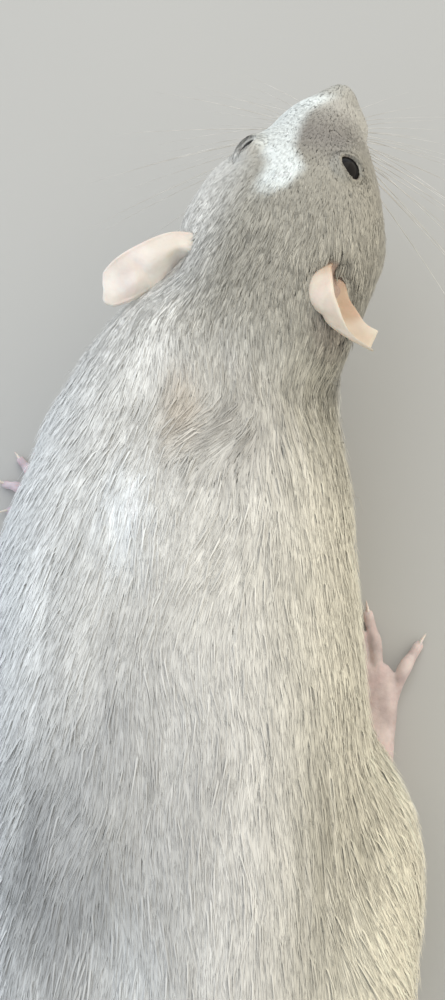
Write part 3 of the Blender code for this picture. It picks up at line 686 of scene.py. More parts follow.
def tail_row(share):
    """The tail's section at a share of its length: its path gives its underside."""
    right, ahead, lift = along_table(TAIL_PATH, share * (len(TAIL_PATH) - 1))
    radius = TAIL_ROOT_RADIUS + (TAIL_TIP_RADIUS - TAIL_ROOT_RADIUS) * share**0.8
    return round_row((right, ahead, lift + radius), radius)


def tail():
    """The whole tail with its rings of scales, flat where it lies on the floor."""
    rows = [tail_row(k / 33) for k in range(34)]

    def swell(share):
        return 1 - SCALE_STEP / 2 + SCALE_STEP * ((share * TAIL_SCALE_RINGS) % 1.0)

    return cut_flat(thing("tail", lofted(rows, 20, TAIL_SCALE_RINGS * 3, swell=swell)), FLOOR_GAP)


def skin():
    """The one skin of the whole animal."""
    core = finer_face(flesh_core())
    points = shaped_lids(points_of(core.data))
    set_points(core.data, points)
    set_points(core.data, shaped_muzzle(points, normals_of(core.data)))
    core = thinned(core, CORE_TRIANGLES)
    hind = ("hind_foot", HIND_STAND, HIND_FOOT, HIND_TOES, HIND_FOOT_VOXEL, HIND_FOOT_TRIANGLES)
    fore = ("forefoot", FORE_STAND, FORE_FOOT, FORE_TOES, FOREFOOT_VOXEL, FOREFOOT_TRIANGLES)
    parts = [(ear_leaf(side), "ear") for side in SIDES]
    parts += [(foot(side, *kind), "foot") for kind in (hind, fore) for side in SIDES]
    parts.append((tail(), "tail"))
    for holder in (core, *[part for part, _ in parts]):
        for finish in SKIN_FINISHES.values():
            holder.data.materials.append(finish)
    for part, slot in parts:
        index = list(SKIN_FINISHES).index(slot)
        part.data.polygons.foreach_set("material_index", [index] * len(part.data.polygons))
        fused(core, part)
    return core


# Colours and finishes


def srgb(code):
    """A hex colour as linear red, green, blue and 1."""
    channels = [int(code[k : k + 2], 16) / 255 for k in (0, 2, 4)]
    return (*[c / 12.92 if c <= 0.04045 else ((c + 0.055) / 1.055) ** 2.4 for c in channels], 1.0)


def pigment(code):
    """A hex colour as an array of linear red, green and blue."""
    return np.array(srgb(code)[:3])


def node(tree, kind, links=(), sockets=(), stops=(), **settings):
    """Adds a shader node with its settings, constant sockets, colour stops and links."""
    made = tree.nodes.new(kind)
    for name, value in settings.items():
        setattr(made, name, value)
    for name, value in dict(sockets).items():
        made.inputs[name].default_value = value
    for number, (position, code) in enumerate(stops):
        made.color_ramp.elements[number].position = position
        made.color_ramp.elements[number].color = srgb(code)
    for name, source in dict(links).items():
        tree.links.new(source, made.inputs[name])
    return made


# A Mix node's colour sockets share their names with its other kinds, so they are given by number
MIX_FIRST, MIX_SECOND, MIX_RESULT = 6, 7, 2


def finish_named(name, **sockets):
    """A new material with its Principled shader, whose constant values are set on its own sockets."""
    material = bpy.data.materials.new(name)
    material.use_nodes = True
    shader = material.node_tree.nodes["Principled BSDF"]
    for socket, value in sockets.items():
        shader.inputs[socket.replace("_", " ")].default_value = value
    return material, material.node_tree, shader


def grain_of(size_mm, detail=4.0):
    """Noise values for features of about a real size in millimetres."""
    return {"Scale": 1 / (size_mm * MM), "Detail": detail, "Roughness": 0.55}


def two_toned(name, dark, light, size_mm, detail, **sockets):
    """A material whose colour wanders between two tones, in features of about a size in millimetres."""
    material, tree, shader = finish_named(name, **sockets)
    place = node(tree, "ShaderNodeTexCoord").outputs["Object"]
    wander = node(tree, "ShaderNodeTexNoise", {"Vector": place}, grain_of(size_mm, detail))
    stops = ((0.3, dark), (0.7, light))
    tone = node(tree, "ShaderNodeValToRGB", {"Fac": wander.outputs["Fac"]}, stops=stops)
    tree.links.new(tone.outputs["Color"], shader.inputs["Base Color"])
    return material


def underfur_finish():
    """Down over skin: the dense woolly hair that grows between the longer hairs."""
    # It gives the eye a dull ground in the coat's own colour, with painted shade in the hollows of its
    # clumps. Its clumps are drawn 0.45 mm across, coarser than real down, so that they show
    material, tree, shader = finish_named(
        "down_over_skin", Roughness=0.85, Sheen_Weight=0.1, Specular_IOR_Level=0.15
    )
    place = node(tree, "ShaderNodeTexCoord").outputs["Object"]
    clumps = node(tree, "ShaderNodeTexNoise", {"Vector": place}, grain_of(0.4545)).outputs["Fac"]
    # Painted shade: the clumps' low places, which the bump sinks, are darker
    stops = ((0.3, "C4C2BE"), (0.7, "FFFFFF"))
    shade = node(tree, "ShaderNodeValToRGB", {"Fac": clumps}, stops=stops)
    painted = node(tree, "ShaderNodeVertexColor", layer_name="coat")
    colours = {MIX_FIRST: painted.outputs["Color"], MIX_SECOND: shade.outputs["Color"]}
    mix = node(tree, "ShaderNodeMix", colours, {"Factor": 0.25}, data_type="RGBA", blend_type="MULTIPLY")
    tree.links.new(mix.outputs[MIX_RESULT], shader.inputs["Base Color"])
    relief = node(tree, "ShaderNodeBump", {"Height": clumps}, {"Distance": 0.3 * MM, "Strength": 1.0})
    tree.links.new(relief.outputs["Normal"], shader.inputs["Normal"])
    return material


def bare_finish(name, dark, light, crease_mm, relief_mm, roughness, flush):
    """Living skin without hair: tones that wander, times the painted flush, and fine creases."""
    # Blood behind a thin surface: light passes in and comes out warm, and the tones change every 4.5 mm or so
    material, tree, shader = finish_named(
        name,
        Roughness=roughness,
        Subsurface_Weight=0.3,
        Subsurface_Scale=0.8 * MM,
        Subsurface_Radius=(1.0, 0.5, 0.38),
        Specular_IOR_Level=0.35,
    )
    place = node(tree, "ShaderNodeTexCoord").outputs["Object"]
    wander = node(tree, "ShaderNodeTexNoise", {"Vector": place}, grain_of(4.545, 3.0))
    stops = ((0.35, dark), (0.65, light))
    tone = node(tree, "ShaderNodeValToRGB", {"Fac": wander.outputs["Fac"]}, stops=stops)
    painted = node(tree, "ShaderNodeVertexColor", layer_name="coat")
    colours = {MIX_FIRST: tone.outputs["Color"], MIX_SECOND: painted.outputs["Color"]}
    mix = node(tree, "ShaderNodeMix", colours, {"Factor": flush}, data_type="RGBA", blend_type="MULTIPLY")
    tree.links.new(mix.outputs[MIX_RESULT], shader.inputs["Base Color"])
    creases = node(tree, "ShaderNodeTexNoise", {"Vector": place}, grain_of(crease_mm))
    depth = {"Distance": relief_mm * MM, "Strength": 1.0}
    relief = node(tree, "ShaderNodeBump", {"Height": creases.outputs["Fac"]}, depth)
    tree.links.new(relief.outputs["Normal"], shader.inputs["Normal"])
    return material


def ear_finish():
    """Ear skin: a leaf of skin over thin gristle."""
    # Pale and dull, with shallow creases drawn 0.8 mm apart, coarser than real ones, so that they show
    return bare_finish("thin_ear_skin", "DFD8CE", "EDE8E0", 0.8333, 0.08, 0.6, 1.0)


def paw_finish():
    """Paw skin: bare and creased over small pads."""
    # Cool pink with a slight shine, its creases drawn 0.7 mm apart, coarser than real ones, so that they show
    return bare_finish("bare_paw_skin", "B9ADB2", "DDD2D7", 0.6667, 0.12, 0.5, 1.0)


def tail_finish():
    """Tail skin: rings of small horny scales."""
    # Pinkish, satin and rough to the eye, its scales about 0.6 mm across
    return bare_finish("scaled_tail_skin", "B08C82", "D2B3A8", 0.625, 0.18, 0.55, 0.9)


def coat_finish():
    """Rat hair: fine, dry and grown in layers of flat scales."""
    # Soft to the eye: little shine of its own and a pale sheen where it turns away. Its colour is painted
    material, tree, shader = finish_named(
        "rat_hair", Roughness=0.65, Sheen_Weight=0.22, Sheen_Roughness=0.5, Specular_IOR_Level=0.28
    )
    painted = node(tree, "ShaderNodeVertexColor", layer_name="coat")
    tree.links.new(painted.outputs["Color"], shader.inputs["Base Color"])
    return material


def eye_finish():
    """The eye: a dark ball behind a clear film of tears."""
    # Near black all through under a wet shine, its tone changing every 2 mm or so
    film = {"Roughness": 0.1, "Specular_IOR_Level": 0.28, "IOR": 1.38}
    return two_toned("wet_black_eye", "060505", "0E0B0B", 2.0, 2.0, **film)


def claw_finish():
    """Claw horn: grown in thin layers and worn smooth."""
    # Pale, glossy and a little clear. Its layers are drawn 0.7 mm apart, coarser than real, so that they show
    layers = {"Roughness": 0.32, "Subsurface_Weight": 0.2, "Subsurface_Scale": 0.6 * MM}
    return two_toned("pale_claw_horn", "D2C2B6", "ECE4DC", 0.7143, 2.0, **layers)


def whisker_finish():
    """Whisker hair: a stiff smooth bristle."""
    # Pale and glossy, a little darker every few millimetres of its length
    return two_toned("stiff_whisker_hair", "B9B4AA", "E6E3DC", 3.333, 1.0, Roughness=0.35)


def floor_finish():
    """Floor paint: matt and rolled on."""
    # An even pale grey with no shine, clouded in patches of about 250 mm
    matt = {"Roughness": 0.9, "Specular_IOR_Level": 0.1}
    return two_toned("pale_matte_floor", "B4B4B1", "BABAB7", 250.0, 2.0, **matt)


SKIN_FINISHES = {"coat": underfur_finish(), "ear": ear_finish(), "foot": paw_finish(), "tail": tail_finish()}
HAIR = coat_finish()

# Markings, as linear colours of the hair's outer part
# The cool and warm creams are cream in painted light: the cool light on the rat's left and the warm light on
# its right
CREAM, CREAM_IN_COOL_LIGHT, CREAM_IN_WARM_LIGHT = pigment("E8E7E1"), pigment("E9EEF0"), pigment("F5EED6")
HOOD_GREY, MUZZLE_GREY, SADDLE_GREY = pigment("A6A296"), pigment("938E87"), pigment("9F9C96")
BACK_GREY, BEIGE, WHITE = pigment("ACADAC"), pigment("C4B9A9"), pigment("EFF5F2")
# The second is painted shadow: the warm brown-grey shade the right ear casts on the fur behind it
NOSE_FUR, PAINTED_EAR_SHADOW = pigment("B4B2A9"), pigment("A39588")
# Bare skin in the bowl of the ear, painted shade in its canal, and bare skin on the nose and at the rims of
# the lids
BOWL_SKIN, CANAL_SHADE = pigment("BBA496"), pigment("63555A")
NOSE_SKIN, LID_SKIN = pigment("CFAAA2"), pigment("564844")
# Soft patches over the back: colour, where right and ahead, how far across and along, and how strong
PATCHES = (
    # Pale hair, tinted bluish with painted cool light
    ("EDF3F6", (-6.5, 62.0), (5.0, 10.0), 0.75),
    ("EDF3F6", (-2.5, -2.0), (7.0, 9.0), 0.65),
    # Olive painted shade in the hollows of the right shoulder and flank
    ("96927F", (25.0, 82.0), (9.0, 13.0), 0.55),
    ("96927F", (24.0, 12.0), (7.0, 24.0), 0.65),
    # Grey hair darkened further by painted shade low on the left flank
    ("787B7D", (-15.0, 10.0), (12.0, 18.0), 0.85),
    # Olive painted shade
    ("96927F", (16.0, 52.0), (12.0, 16.0), 0.22),
)


def drift(points, wave, seed):
    """Smooth noise between -1 and 1 over points, its features about so many millimetres across."""
    rng = np.random.default_rng(seed)
    total = np.zeros(len(points))
    for _ in range(7):
        direction = rng.normal(size=3)
        direction *= 2 * math.pi / (wave * rng.uniform(0.7, 1.5) * np.linalg.norm(direction))
        total += np.sin(points @ direction + rng.uniform(0, 2 * math.pi))
    return total / 3.0


def mixed(first, second, share):
    """One array of colours turned toward another by a share for each point."""
    return first + (second - first) * share[:, None]


def body_colour(points):
    """Cream tinted by painted light, cool on the rat's left and warm on its right, and a little greyer along
    the back.
    """
    # Painted light: the cream turns cool on the left and warm on the right, as the lamps on those sides are
    cool, warm = smooth(-6.0, -34.0, points[:, 0]), smooth(8.0, 34.0, points[:, 0]) * 0.95
    colour = mixed(np.tile(CREAM, (len(points), 1)), CREAM_IN_COOL_LIGHT, cool)
    return mixed(mixed(colour, CREAM_IN_WARM_LIGHT, warm), SADDLE_GREY, smooth(50.0, 60.0, points[:, 2]) * 0.2)


def with_face(colour, inside, wander):
    """Adds the muzzle's marks: a wedge of warm grey, the white blaze and the grey of the nose."""
    across, ahead, up = inside.T
    # The wedge narrows to a point behind the nose
    wedge = np.clip((40.0 - ahead) * 0.55, 0.1, 6.5)
    wedge = (1 - smooth(wedge - 2.8, wedge + 2.4, np.abs(across - 2.0))) * smooth(17.0, 26.0, ahead)
    colour = mixed(colour, MUZZLE_GREY, wedge * (1.0 - 0.9 * smooth(24.0, 37.0, ahead)))
    # The blaze runs left of the muzzle's ridge, crisp on its right, and ends between the eyes
    offset = across - np.interp(ahead, BLAZE_AHEAD, BLAZE_MIDDLE) + 0.4 * wander
    half = np.interp(ahead, BLAZE_AHEAD, BLAZE_HALF)
    crisp, soft = smooth(half - 1.3, half + 1.5, offset), smooth(half - 1.0, half + 2.4, -offset)
    blaze = 1 - np.where(offset > 0, crisp, soft)
    colour = mixed(colour, WHITE, blaze * smooth(8.0, 14.0, ahead) * smooth(-20.0, -16.0, up))
    return mixed(colour, NOSE_FUR, smooth(34.5, 38.5, ahead) * 0.9)


def with_patches(colour, points, strands):
    """Adds the soft patches over the back, some of them painted light and shade, broken up along the hair."""
    lift = points[:, 2]
    for code, middle, reach, share in PATCHES:
        patch = soft_spot(points, middle, reach) * smooth(15.0, 35.0, lift)
        colour = mixed(colour, pigment(code), patch * np.clip(0.85 + 0.4 * strands, 0.0, 1.0) * share)
    broken = np.clip(0.6 + 0.4 * drift(points * (1.0, 0.35, 1.0), 11.0, 15), 0.0, 1.0)
    return mixed(colour, BACK_GREY, soft_spot(points, *WASH) * smooth(30.0, 45.0, lift) * broken)


def markings(points):
    """The coat's colour at points of the rat's frame: cream body, grey-beige hood, white blaze."""
    inside = in_head(points)
    across, ahead, up = inside.T
    wander, strands = drift(points, 16.0, 3), drift(points * (1.0, 0.15, 1.0), 3.0, 21)
    hood = smooth(-46.0, -14.0, ahead + 3.0 * wander + 5.0 * strands - 0.3 * np.abs(across - 3.0))
    hood *= 0.64 + 0.36 * smooth(-26.0, -6.0, ahead)
    # Painted light: the hood is paler on the head's sides, most on its left, where the cheek faces away from
    # the lamps
    sides = smooth(7.0, 17.0, across) * 0.06 + smooth(-3.0, -15.0, across) * 0.82
    colour = mixed(body_colour(points), HOOD_GREY, hood * (0.97 - sides * (1 - smooth(22.0, 30.0, ahead))))
    # Grey hair at the nape's parting, darkened further as painted shade in its crease
    saddle_and_crease_shade = soft_spot(points, *SADDLE_AND_CREASE) * smooth(30.0, 40.0, points[:, 2]) * 0.85
    saddle_and_crease_shade *= np.clip(0.8 + 0.45 * drift(points * (1.0, 0.3, 1.0), 3.0, 17), 0.0, 1.0)
    colour = mixed(colour, SADDLE_GREY, saddle_and_crease_shade)
    colour = mixed(colour, CREAM, smooth(25.0, 34.0, ahead) * 0.4)
    colour = with_patches(with_face(colour, inside, wander), points, strands)
    # Painted shadow of the right ear, warm brown-grey on the fur behind it
    behind_ear = np.linalg.norm(inside - np.array((13.0, -10.0, -9.0)), axis=1)
    colour = mixed(colour, PAINTED_EAR_SHADOW, (1 - smooth(2.0, 6.5, behind_ear)) * 0.4)
    away = (points[:, :2] - np.array(BEIGE_SPOT[0])) / np.array(BEIGE_SPOT[1])
    spot = 1 - smooth(0.3, 1.6, np.hypot(away[:, 0], away[:, 1]))
    colour = mixed(colour, BEIGE, spot * smooth(30.0, 45.0, points[:, 2]) * 0.6)
    throat = smooth(-18.0, -24.0, up) * hood
    colour = mixed(colour, CREAM, throat * 0.6)
    fine, broad = drift(points * (1.0, 0.16, 1.0), 2.6, 12), drift(points * (1.0, 0.2, 1.0), 7.0, 13)
    streaks = (0.06 * fine + 0.06 * broad) * (1 - smooth(-24.0, 0.0, ahead))
    return np.clip(colour * (1 + streaks[:, None]), 0.0, 0.95)


def slit_distance(local, side):
    """How far points in the slit's frame are from the slit's middle, where 1 is its rim."""
    half_length, half_width = EYE_OPENING[side]
    return np.hypot(local[:, 0] / half_length, local[:, 1] / half_width)


def bare_colours(points, inside):
    """What ears, feet and tail are multiplied by: warm at the ears' roots, painted light and shade on the
    ears, and darker at the ankles with painted shade.
    """
    bare = np.ones((len(points), 3))
    right = inside[:, 0] > 0
    for side, rows in EAR.items():
        spot = np.array(rows[1][3:6]) * ((1, 1, 1) if side == "right" else (-1, 1, 1))
        base = 1 - smooth(3.0, 13.0, np.linalg.norm(inside - spot, axis=1))
        bare *= mixed(np.ones((len(points), 3)), np.array((0.97, 0.93, 0.9)), base)
    # The skin of the right ear's hollow is warm, and darkened further as painted shade
    bare = mixed(bare, np.array((0.74, 0.6, 0.52)), (1 - smooth(1.0, 4.0, near_bowl(points))) * right)
    # Painted light: the right ear takes the yellow of the warm light on that side, and the left ear is
    # lightened where it turns from the light
    bare = np.where(right[:, None], bare * (0.97, 0.925, 0.83), np.minimum(bare * 1.08, 1.0))
    # Painted shade: the feet darken toward the ankles, where they go in under the body
    ankle = smooth(2.5, 7.0, points[:, 2]) * near_feet(points)
    return mixed(bare, bare * (0.68, 0.64, 0.6), ankle)


def furred_colours(points, inside):
    """The skin under the coat: the coat's markings, and bare in the ear, on the nose and at the lids."""
    # The skin is painted lighter than the coat above it: painted light that lifts the shade in the gaps
    # between tufts
    under = np.minimum(markings(points) * 1.12, 0.95)
    under = mixed(under, BOWL_SKIN, 1 - smooth(2.0, 3.0, near_bowl(points)))
    # Painted shade: the hollow in front of the right ear is painted dark, as its canal is in shade
    under = mixed(under, CANAL_SHADE, (1 - smooth(0.7, 2.0, near_hollow(points))) * (inside[:, 0] > 0))
    nose = np.linalg.norm(inside - np.array(NOSE_TIP) - (0.0, 0.3, -1.0), axis=1)
    under = mixed(under, NOSE_SKIN, 1 - smooth(1.6, 2.6, nose))
    lids = np.zeros(len(points))
    for side in SIDES:
        near = np.linalg.norm(points - np.array(eye_frame(side).translation), axis=1)
        slit = slit_distance(moved(points, lid_frame(side).inverted()), side)
        lids = np.maximum(lids, (1 - smooth(1.0, 1.08, slit)) * (near < 4.5))
    return mixed(under, LID_SKIN, lids)


def skin_colours(made):
    """Paints the coat attribute of the skin: the coat's markings, and the flush of bare skin."""
    points = points_of(made.data)
    inside = in_head(points)
    slots = numbers(made.data.polygons, "material_index", 1, np.int32)[:, 0]
    furred = np.repeat(slots, numbers(made.data.polygons, "loop_total", 1, np.int32)[:, 0]) == 0
    vert = numbers(made.data.loops, "vertex_index", 1, np.int32)[:, 0]
    flush = np.abs(drift(points, 5.0, 9)[:, None] * np.array((0.02, 0.06, 0.05)))
    bare = bare_colours(points, inside) * (1 - flush)
    colour = np.where(furred[:, None], furred_colours(points, inside)[vert], bare[vert])
    paint(made.data, "CORNER", colour)


def paint(mesh, domain, colours):
    """Stores a linear colour for each point or corner of a mesh in its coat attribute."""
    layer = mesh.color_attributes.new("coat", "FLOAT_COLOR", domain)
    opaque = np.column_stack([colours, np.ones(len(colours))])
    layer.data.foreach_set("color", opaque.astype(np.float32).ravel())


# The coat


def lie_of_coat(points, normals):
    """The way the hair lies: back over the head and body, down the flanks, and toward the feet and tail."""
    inside = in_head(points)
    turn = np.array(HEAD)[:3, :3]
    back = np.tile((0.0, -1.0, 0.0), (len(points), 1))
    right, ahead = points[:, 0], points[:, 1]
    sweep = 0.9 * soft_spot(points, *PARTING)
    drawn = 0.4 * bell(right - 6.0, 9.0) * smooth(34.0, 60.0, ahead) * (1 - smooth(74.0, 90.0, ahead))
    fan = (0.2 + 1.1 * smooth(30.0, -5.0, ahead)) * smooth(9.0, 42.0, right)
    fan -= 0.85 * smooth(-1.0, -36.0, right)
    fan -= 0.8 * smooth(-6.0, -30.0, right) * bell(ahead - 82.0, 18.0)
    body = back + np.column_stack([fan - drawn - sweep, 0 * fan, -0.45 * fan**2])
    rump = np.array((-3.4, -62.0, 6.0)) - points
    body = body + (unit(rump) - body) * smooth(-22.0, -44.0, points[:, 1])[:, None]
    from_nose = inside - np.array((0.0, 46.0, -13.0))
    face = unit(from_nose * (1.0, 0.75, 0.8)) @ turn.T
    share = smooth(-24.0, -2.0, inside[:, 1])
    lie = unit(body) * (1 - share[:, None]) + face * share[:, None]
    for stand in (HIND_STAND, FORE_STAND):
        for right, ahead, _ in stand.values():
            foot_at = np.array((right, ahead, 1.0))
            away = np.linalg.norm(points - foot_at, axis=1)
            lie = lie + (unit(foot_at - points) - lie) * (1 - smooth(8.0, 24.0, away))[:, None] * 0.8
    lie = lie - normals * np.sum(lie * normals, axis=1)[:, None]
    side = np.cross(normals, lie)
    swirl = np.radians(6.0 * drift(points, 16.0, 5) + 4.0 * drift(points, 5.0, 6))
    lie = lie * np.cos(swirl)[:, None] + side * np.sin(swirl)[:, None]
    return unit(lie - normals * np.sum(lie * normals, axis=1)[:, None])


def rooted(made, count, rng):
    """Roots spread over the furred skin: their places, the way the skin faces, and places on its unwrap."""
    mesh = made.data
    mesh.calc_loop_triangles()
    corners = numbers(mesh.loop_triangles, "vertices", 3, np.int32)
    loops = numbers(mesh.loop_triangles, "loops", 3, np.int32)
    slots = numbers(mesh.loop_triangles, "material_index", 1, np.int32)[:, 0]
    points, normals = points_of(mesh), normals_of(mesh)
    middles = points[corners].mean(axis=1)
    first, second, third = (points[corners[:, number]] for number in range(3))
    area = np.linalg.norm(np.cross(second - first, third - first), axis=1) / 2
    weight = area * crowding(middles, normals[corners].mean(axis=1)) * (slots == 0)
    weight *= 1 - bald(middles)
    total = np.cumsum(weight / weight.sum() * count)
    steps = np.arange(int(total[-1])) + rng.random(int(total[-1]))
    chosen = np.minimum(np.searchsorted(total, steps), len(corners) - 1)
    u, v = rng.random(len(chosen)), rng.random(len(chosen))
    flip = u + v > 1
    u[flip], v[flip] = 1 - u[flip], 1 - v[flip]
    shares = np.column_stack([1 - u - v, u, v])
    unwrap = numbers(mesh.uv_layers["OFBake"].data, "uv", 2).astype(float)
    place = np.einsum("nk,nkc->nc", shares, points[corners[chosen]])
    normal = unit(np.einsum("nk,nkc->nc", shares, normals[corners[chosen]]))
    patch = np.einsum("nk,nkc->nc", shares, unwrap[loops[chosen]])
    return place, normal, patch


def crowding(points, normals):
    """How closely the tufts stand: more on the face, fewer under the belly."""
    inside = in_head(points)
    crowd = 1.0 + 1.6 * smooth(-26.0, -6.0, inside[:, 1]) + 3.2 * smooth(6.0, 26.0, inside[:, 1])
    crowd += 1.5 * near_feet(points)
    return crowd * (1 - 0.55 * smooth(-0.35, -0.8, normals[:, 2]))


def from_slit(points, side):
    """How far points are from the middle of an eye's slit: 1 at its rim, and 9 well away from the eye."""
    local = moved(points, lid_frame(side).inverted())
    near = (np.linalg.norm(local, axis=1) < 5.5) & (local[:, 2] > 0)
    return np.where(near, slit_distance(local, side), 9.0)


def bald(points):
    """Where no hair grows: the nose pad, the lids' rims and the inside of an ear."""
    inside = in_head(points)
    none = 1 - smooth(1.7, 2.3, np.linalg.norm(inside - np.array(NOSE_TIP) - (0.0, 0.3, -1.0), axis=1))
    none = np.maximum(none, 1 - smooth(2.0, 2.7, near_bowl(points)))
    for side in SIDES:
        none = np.maximum(none, 1 - smooth(1.0, 1.08, from_slit(points, side)))
    return none


def tuft_sizes(place, normal, head, face, rng):
    """The length and width of each tuft and how high it stands over the skin."""
    count = len(place)
    length, width = (
        of_body + (of_head - of_body) * head + (of_face - of_head) * face
        for of_body, of_head, of_face in zip(BODY_HAIR, HEAD_HAIR, FACE_HAIR)
    )
    bowl = near_bowl(place)
    length *= (1 - 0.6 * near_feet(place)) * (0.45 + 0.55 * smooth(2.0, 6.0, bowl))
    length *= rng.uniform(0.7, 1.2, count)
    width *= rng.uniform(0.7, 1.3, count)
    height = np.maximum(coat_depth(place), 0.3)
    height *= 1.02 - (0.09 + 0.15 * head * (1 - 0.7 * face)) * rng.random(count)
    # Hair beside the lids and the inside of the ear is very short and flat
    lids = smooth(1.1, 2.4, np.minimum(from_slit(place, "right"), from_slit(place, "left")))
    height *= (0.3 + 0.7 * lids) * (0.4 + 0.6 * smooth(2.0, 5.0, bowl))
    length *= 0.55 + 0.45 * lids
    stray = rng.random(count) < STRAY_SHARE
    height[stray] *= rng.uniform(1.05, 1.4, stray.sum())
    length[stray] *= 0.8
    width[stray] *= 0.6
    # On the flanks short hairs stand off a little, which makes the outline soft
    flank = smooth(0.65, 0.2, normal[:, 2]) * smooth(-0.7, -0.3, normal[:, 2]) * (1 - head)
    fringe = rng.random(count) < FRINGE_SHARE * flank
    height[fringe] *= rng.uniform(1.05, 1.45, fringe.sum())
    length[fringe] *= rng.uniform(0.35, 0.55, fringe.sum())
    width[fringe] *= 0.6
    return length, width, height


def tuft_rings(place, normal, length, height, rng):
    """Root, bend and tip of each tuft, which runs over the skin, and the way the skin faces under them."""
    jitter = np.radians(rng.normal(0.0, 6.0, len(place)))
    surface = surface_of(SKIN)
    rings, ups = [place - normal * 0.2], [normal]
    here, up, gone = place, normal, 0.0
    for share in (BEND, 1.0):
        lie = lie_of_coat(here, up)
        side = np.cross(up, lie)
        lie = lie * np.cos(jitter)[:, None] + side * np.sin(jitter)[:, None]
        onward = here + lie * (length * (share - gone))[:, None]
        gone = share
        met = [surface.find_nearest(Vector(point))[:2] for point in onward]
        here = np.array([point for point, _ in met])
        up = unit(np.array([facing for _, facing in met]) * 0.5 + up * 0.5)
        rings.append(here + up * (height * (1 - (1 - share) ** RISE))[:, None])
        ups.append(up)
    return rings, ups


def drawn_into_locks(place, rings, rng):
    """Leans each tuft toward the lock whose middle is nearest, and returns which lock that is."""
    count = len(place)
    locks = rng.choice(count, count // LOCK_TUFTS, replace=False)
    tree = KDTree(len(locks))
    for number, lock in enumerate(locks):
        tree.insert(Vector(place[lock]), number)
    tree.balance()
    lock_of = locks[np.array([tree.find(Vector(point))[1] for point in place])]
    for ring, pull in zip((1, 2), LOCK_PULL):
        ease = pull * rng.uniform(0.4, 1.2, count)
        offset = rings[ring][lock_of] - rings[ring]
        far = np.linalg.norm(offset, axis=1)
        offset *= np.minimum(1.0, LOCK_REACH / np.maximum(far, 1e-6))[:, None]
        rings[ring] = rings[ring] + offset * ease[:, None]
    return lock_of


def clear_of_bare(rings):
    """Which tufts reach neither over an eye nor into the bare inside of an ear."""
    clear = np.ones(len(rings[0]), bool)
    for ring in rings[1:]:
        clear &= near_bowl(ring) > 1.4
        for side, rim in zip(SIDES, (1.0, 1.15)):
            clear &= from_slit(ring, side) > rim
    return clear


def tuft_corners(rings, ups, normal, width):
    """The five corners of each tuft, and the way light is to find them facing, both in the row frame."""
    # A tuft is a spindle: its root and tip are points, and its bend, where it is widest, has three sides
    ahead = unit(rings[2] - rings[0])
    across = unit(np.cross(ahead, normal))
    ridge = np.cross(across, ahead)
    half = (width / 2)[:, None]
    left, right, top = -across * half, across * half, ridge * half * 0.6
    corners = [rings[0], rings[1] + left, rings[1] + right, rings[1] + top, rings[2]]
    # Light falls on it much as on the body under it, so it is lit as if it leaned only a little to its sides
    lean = across * ROUNDNESS
    lit = [ups[0], unit(ups[1] - lean), unit(ups[1] + lean), ups[1], ups[2]]
    return moved(np.stack(corners, axis=1), PLACE), np.stack(lit, axis=1) * (-1, -1, 1)


def tuft_colours(rings, lock_of, head, face, rng):
    """The colour of each tuft's corners. Locks and single hairs differ in tone, and some hairs are dark."""
    count = len(lock_of)
    shift = rng.normal(0.0, TONE_SPREAD, count)[lock_of] + rng.normal(0.0, TONE_SPREAD, count)
    shift -= 0.1 * (rng.random(count) < DARK_SHARE)
    shift *= 1 - 0.7 * face + 1.6 * head * (1 - face)
    tone = markings(rings[1] * 0.45 + rings[2] * 0.55) * (1 + shift)[:, None]
    # Painted light: roots and bends are a little lighter than tips, which lifts the shade deep in the coat
    root, bend = 1.02 + 0.06 * rng.random(count), 0.98 + 0.04 * rng.random(count)
    painted_root_light = np.column_stack([root, bend, bend, bend, np.ones(count)])
    return np.clip(tone[:, None, :] * painted_root_light[:, :, None], 0.0, 0.96)


def tuft_faces(corners):
    """The six faces of a tuft, turned outward."""
    faces = np.array([(0, 1, 3), (0, 3, 2), (0, 2, 1), (4, 3, 1), (4, 2, 3), (4, 1, 2)])
    sample = corners[faces]
    volume = np.sum(sample[:, 0] * np.cross(sample[:, 1], sample[:, 2]))
    return faces if volume > 0 else faces[:, ::-1]


def coat():
    """All tufts of the coat, as several pieces."""
    rng = np.random.default_rng(SEED)
    place, normal, patch = rooted(SKIN, TUFT_COUNT, rng)
    ahead = in_head(place)[:, 1]
    head, face = smooth(-30.0, -4.0, ahead), smooth(4.0, 24.0, ahead)
    length, width, height = tuft_sizes(place, normal, head, face, rng)
    rings, ups = tuft_rings(place, normal, length, height, rng)
    lock_of = drawn_into_locks(place, rings, rng)
    verts, lit = tuft_corners(rings, ups, normal, width)
    colours = tuft_colours(rings, lock_of, head, face, rng)
    faces = tuft_faces(verts[0])
    spread = np.array([(0, -1), (-1, 0), (1, 0), (0, 0.4), (0, 1)])
    unwrap = patch[:, None, :] + spread[None] * PATCH_HALF
    most = COAT_PIECE_TRIANGLES // len(faces)
    left = clear_of_bare(rings)
    for name, slot, on_head, end in COAT_PARTS:
        inside = left & ((ahead if on_head else place[:, 1]) > end)
        left &= ~inside
        members = np.flatnonzero(inside)
        parts = math.ceil(len(members) / most)
        for part in range(parts):
            chosen = members[part::parts]
            title = name if parts == 1 else f"{name}_{part + 1}"
            coat_piece(title, slot, faces, *(values[chosen] for values in (verts, lit, colours, unwrap)))


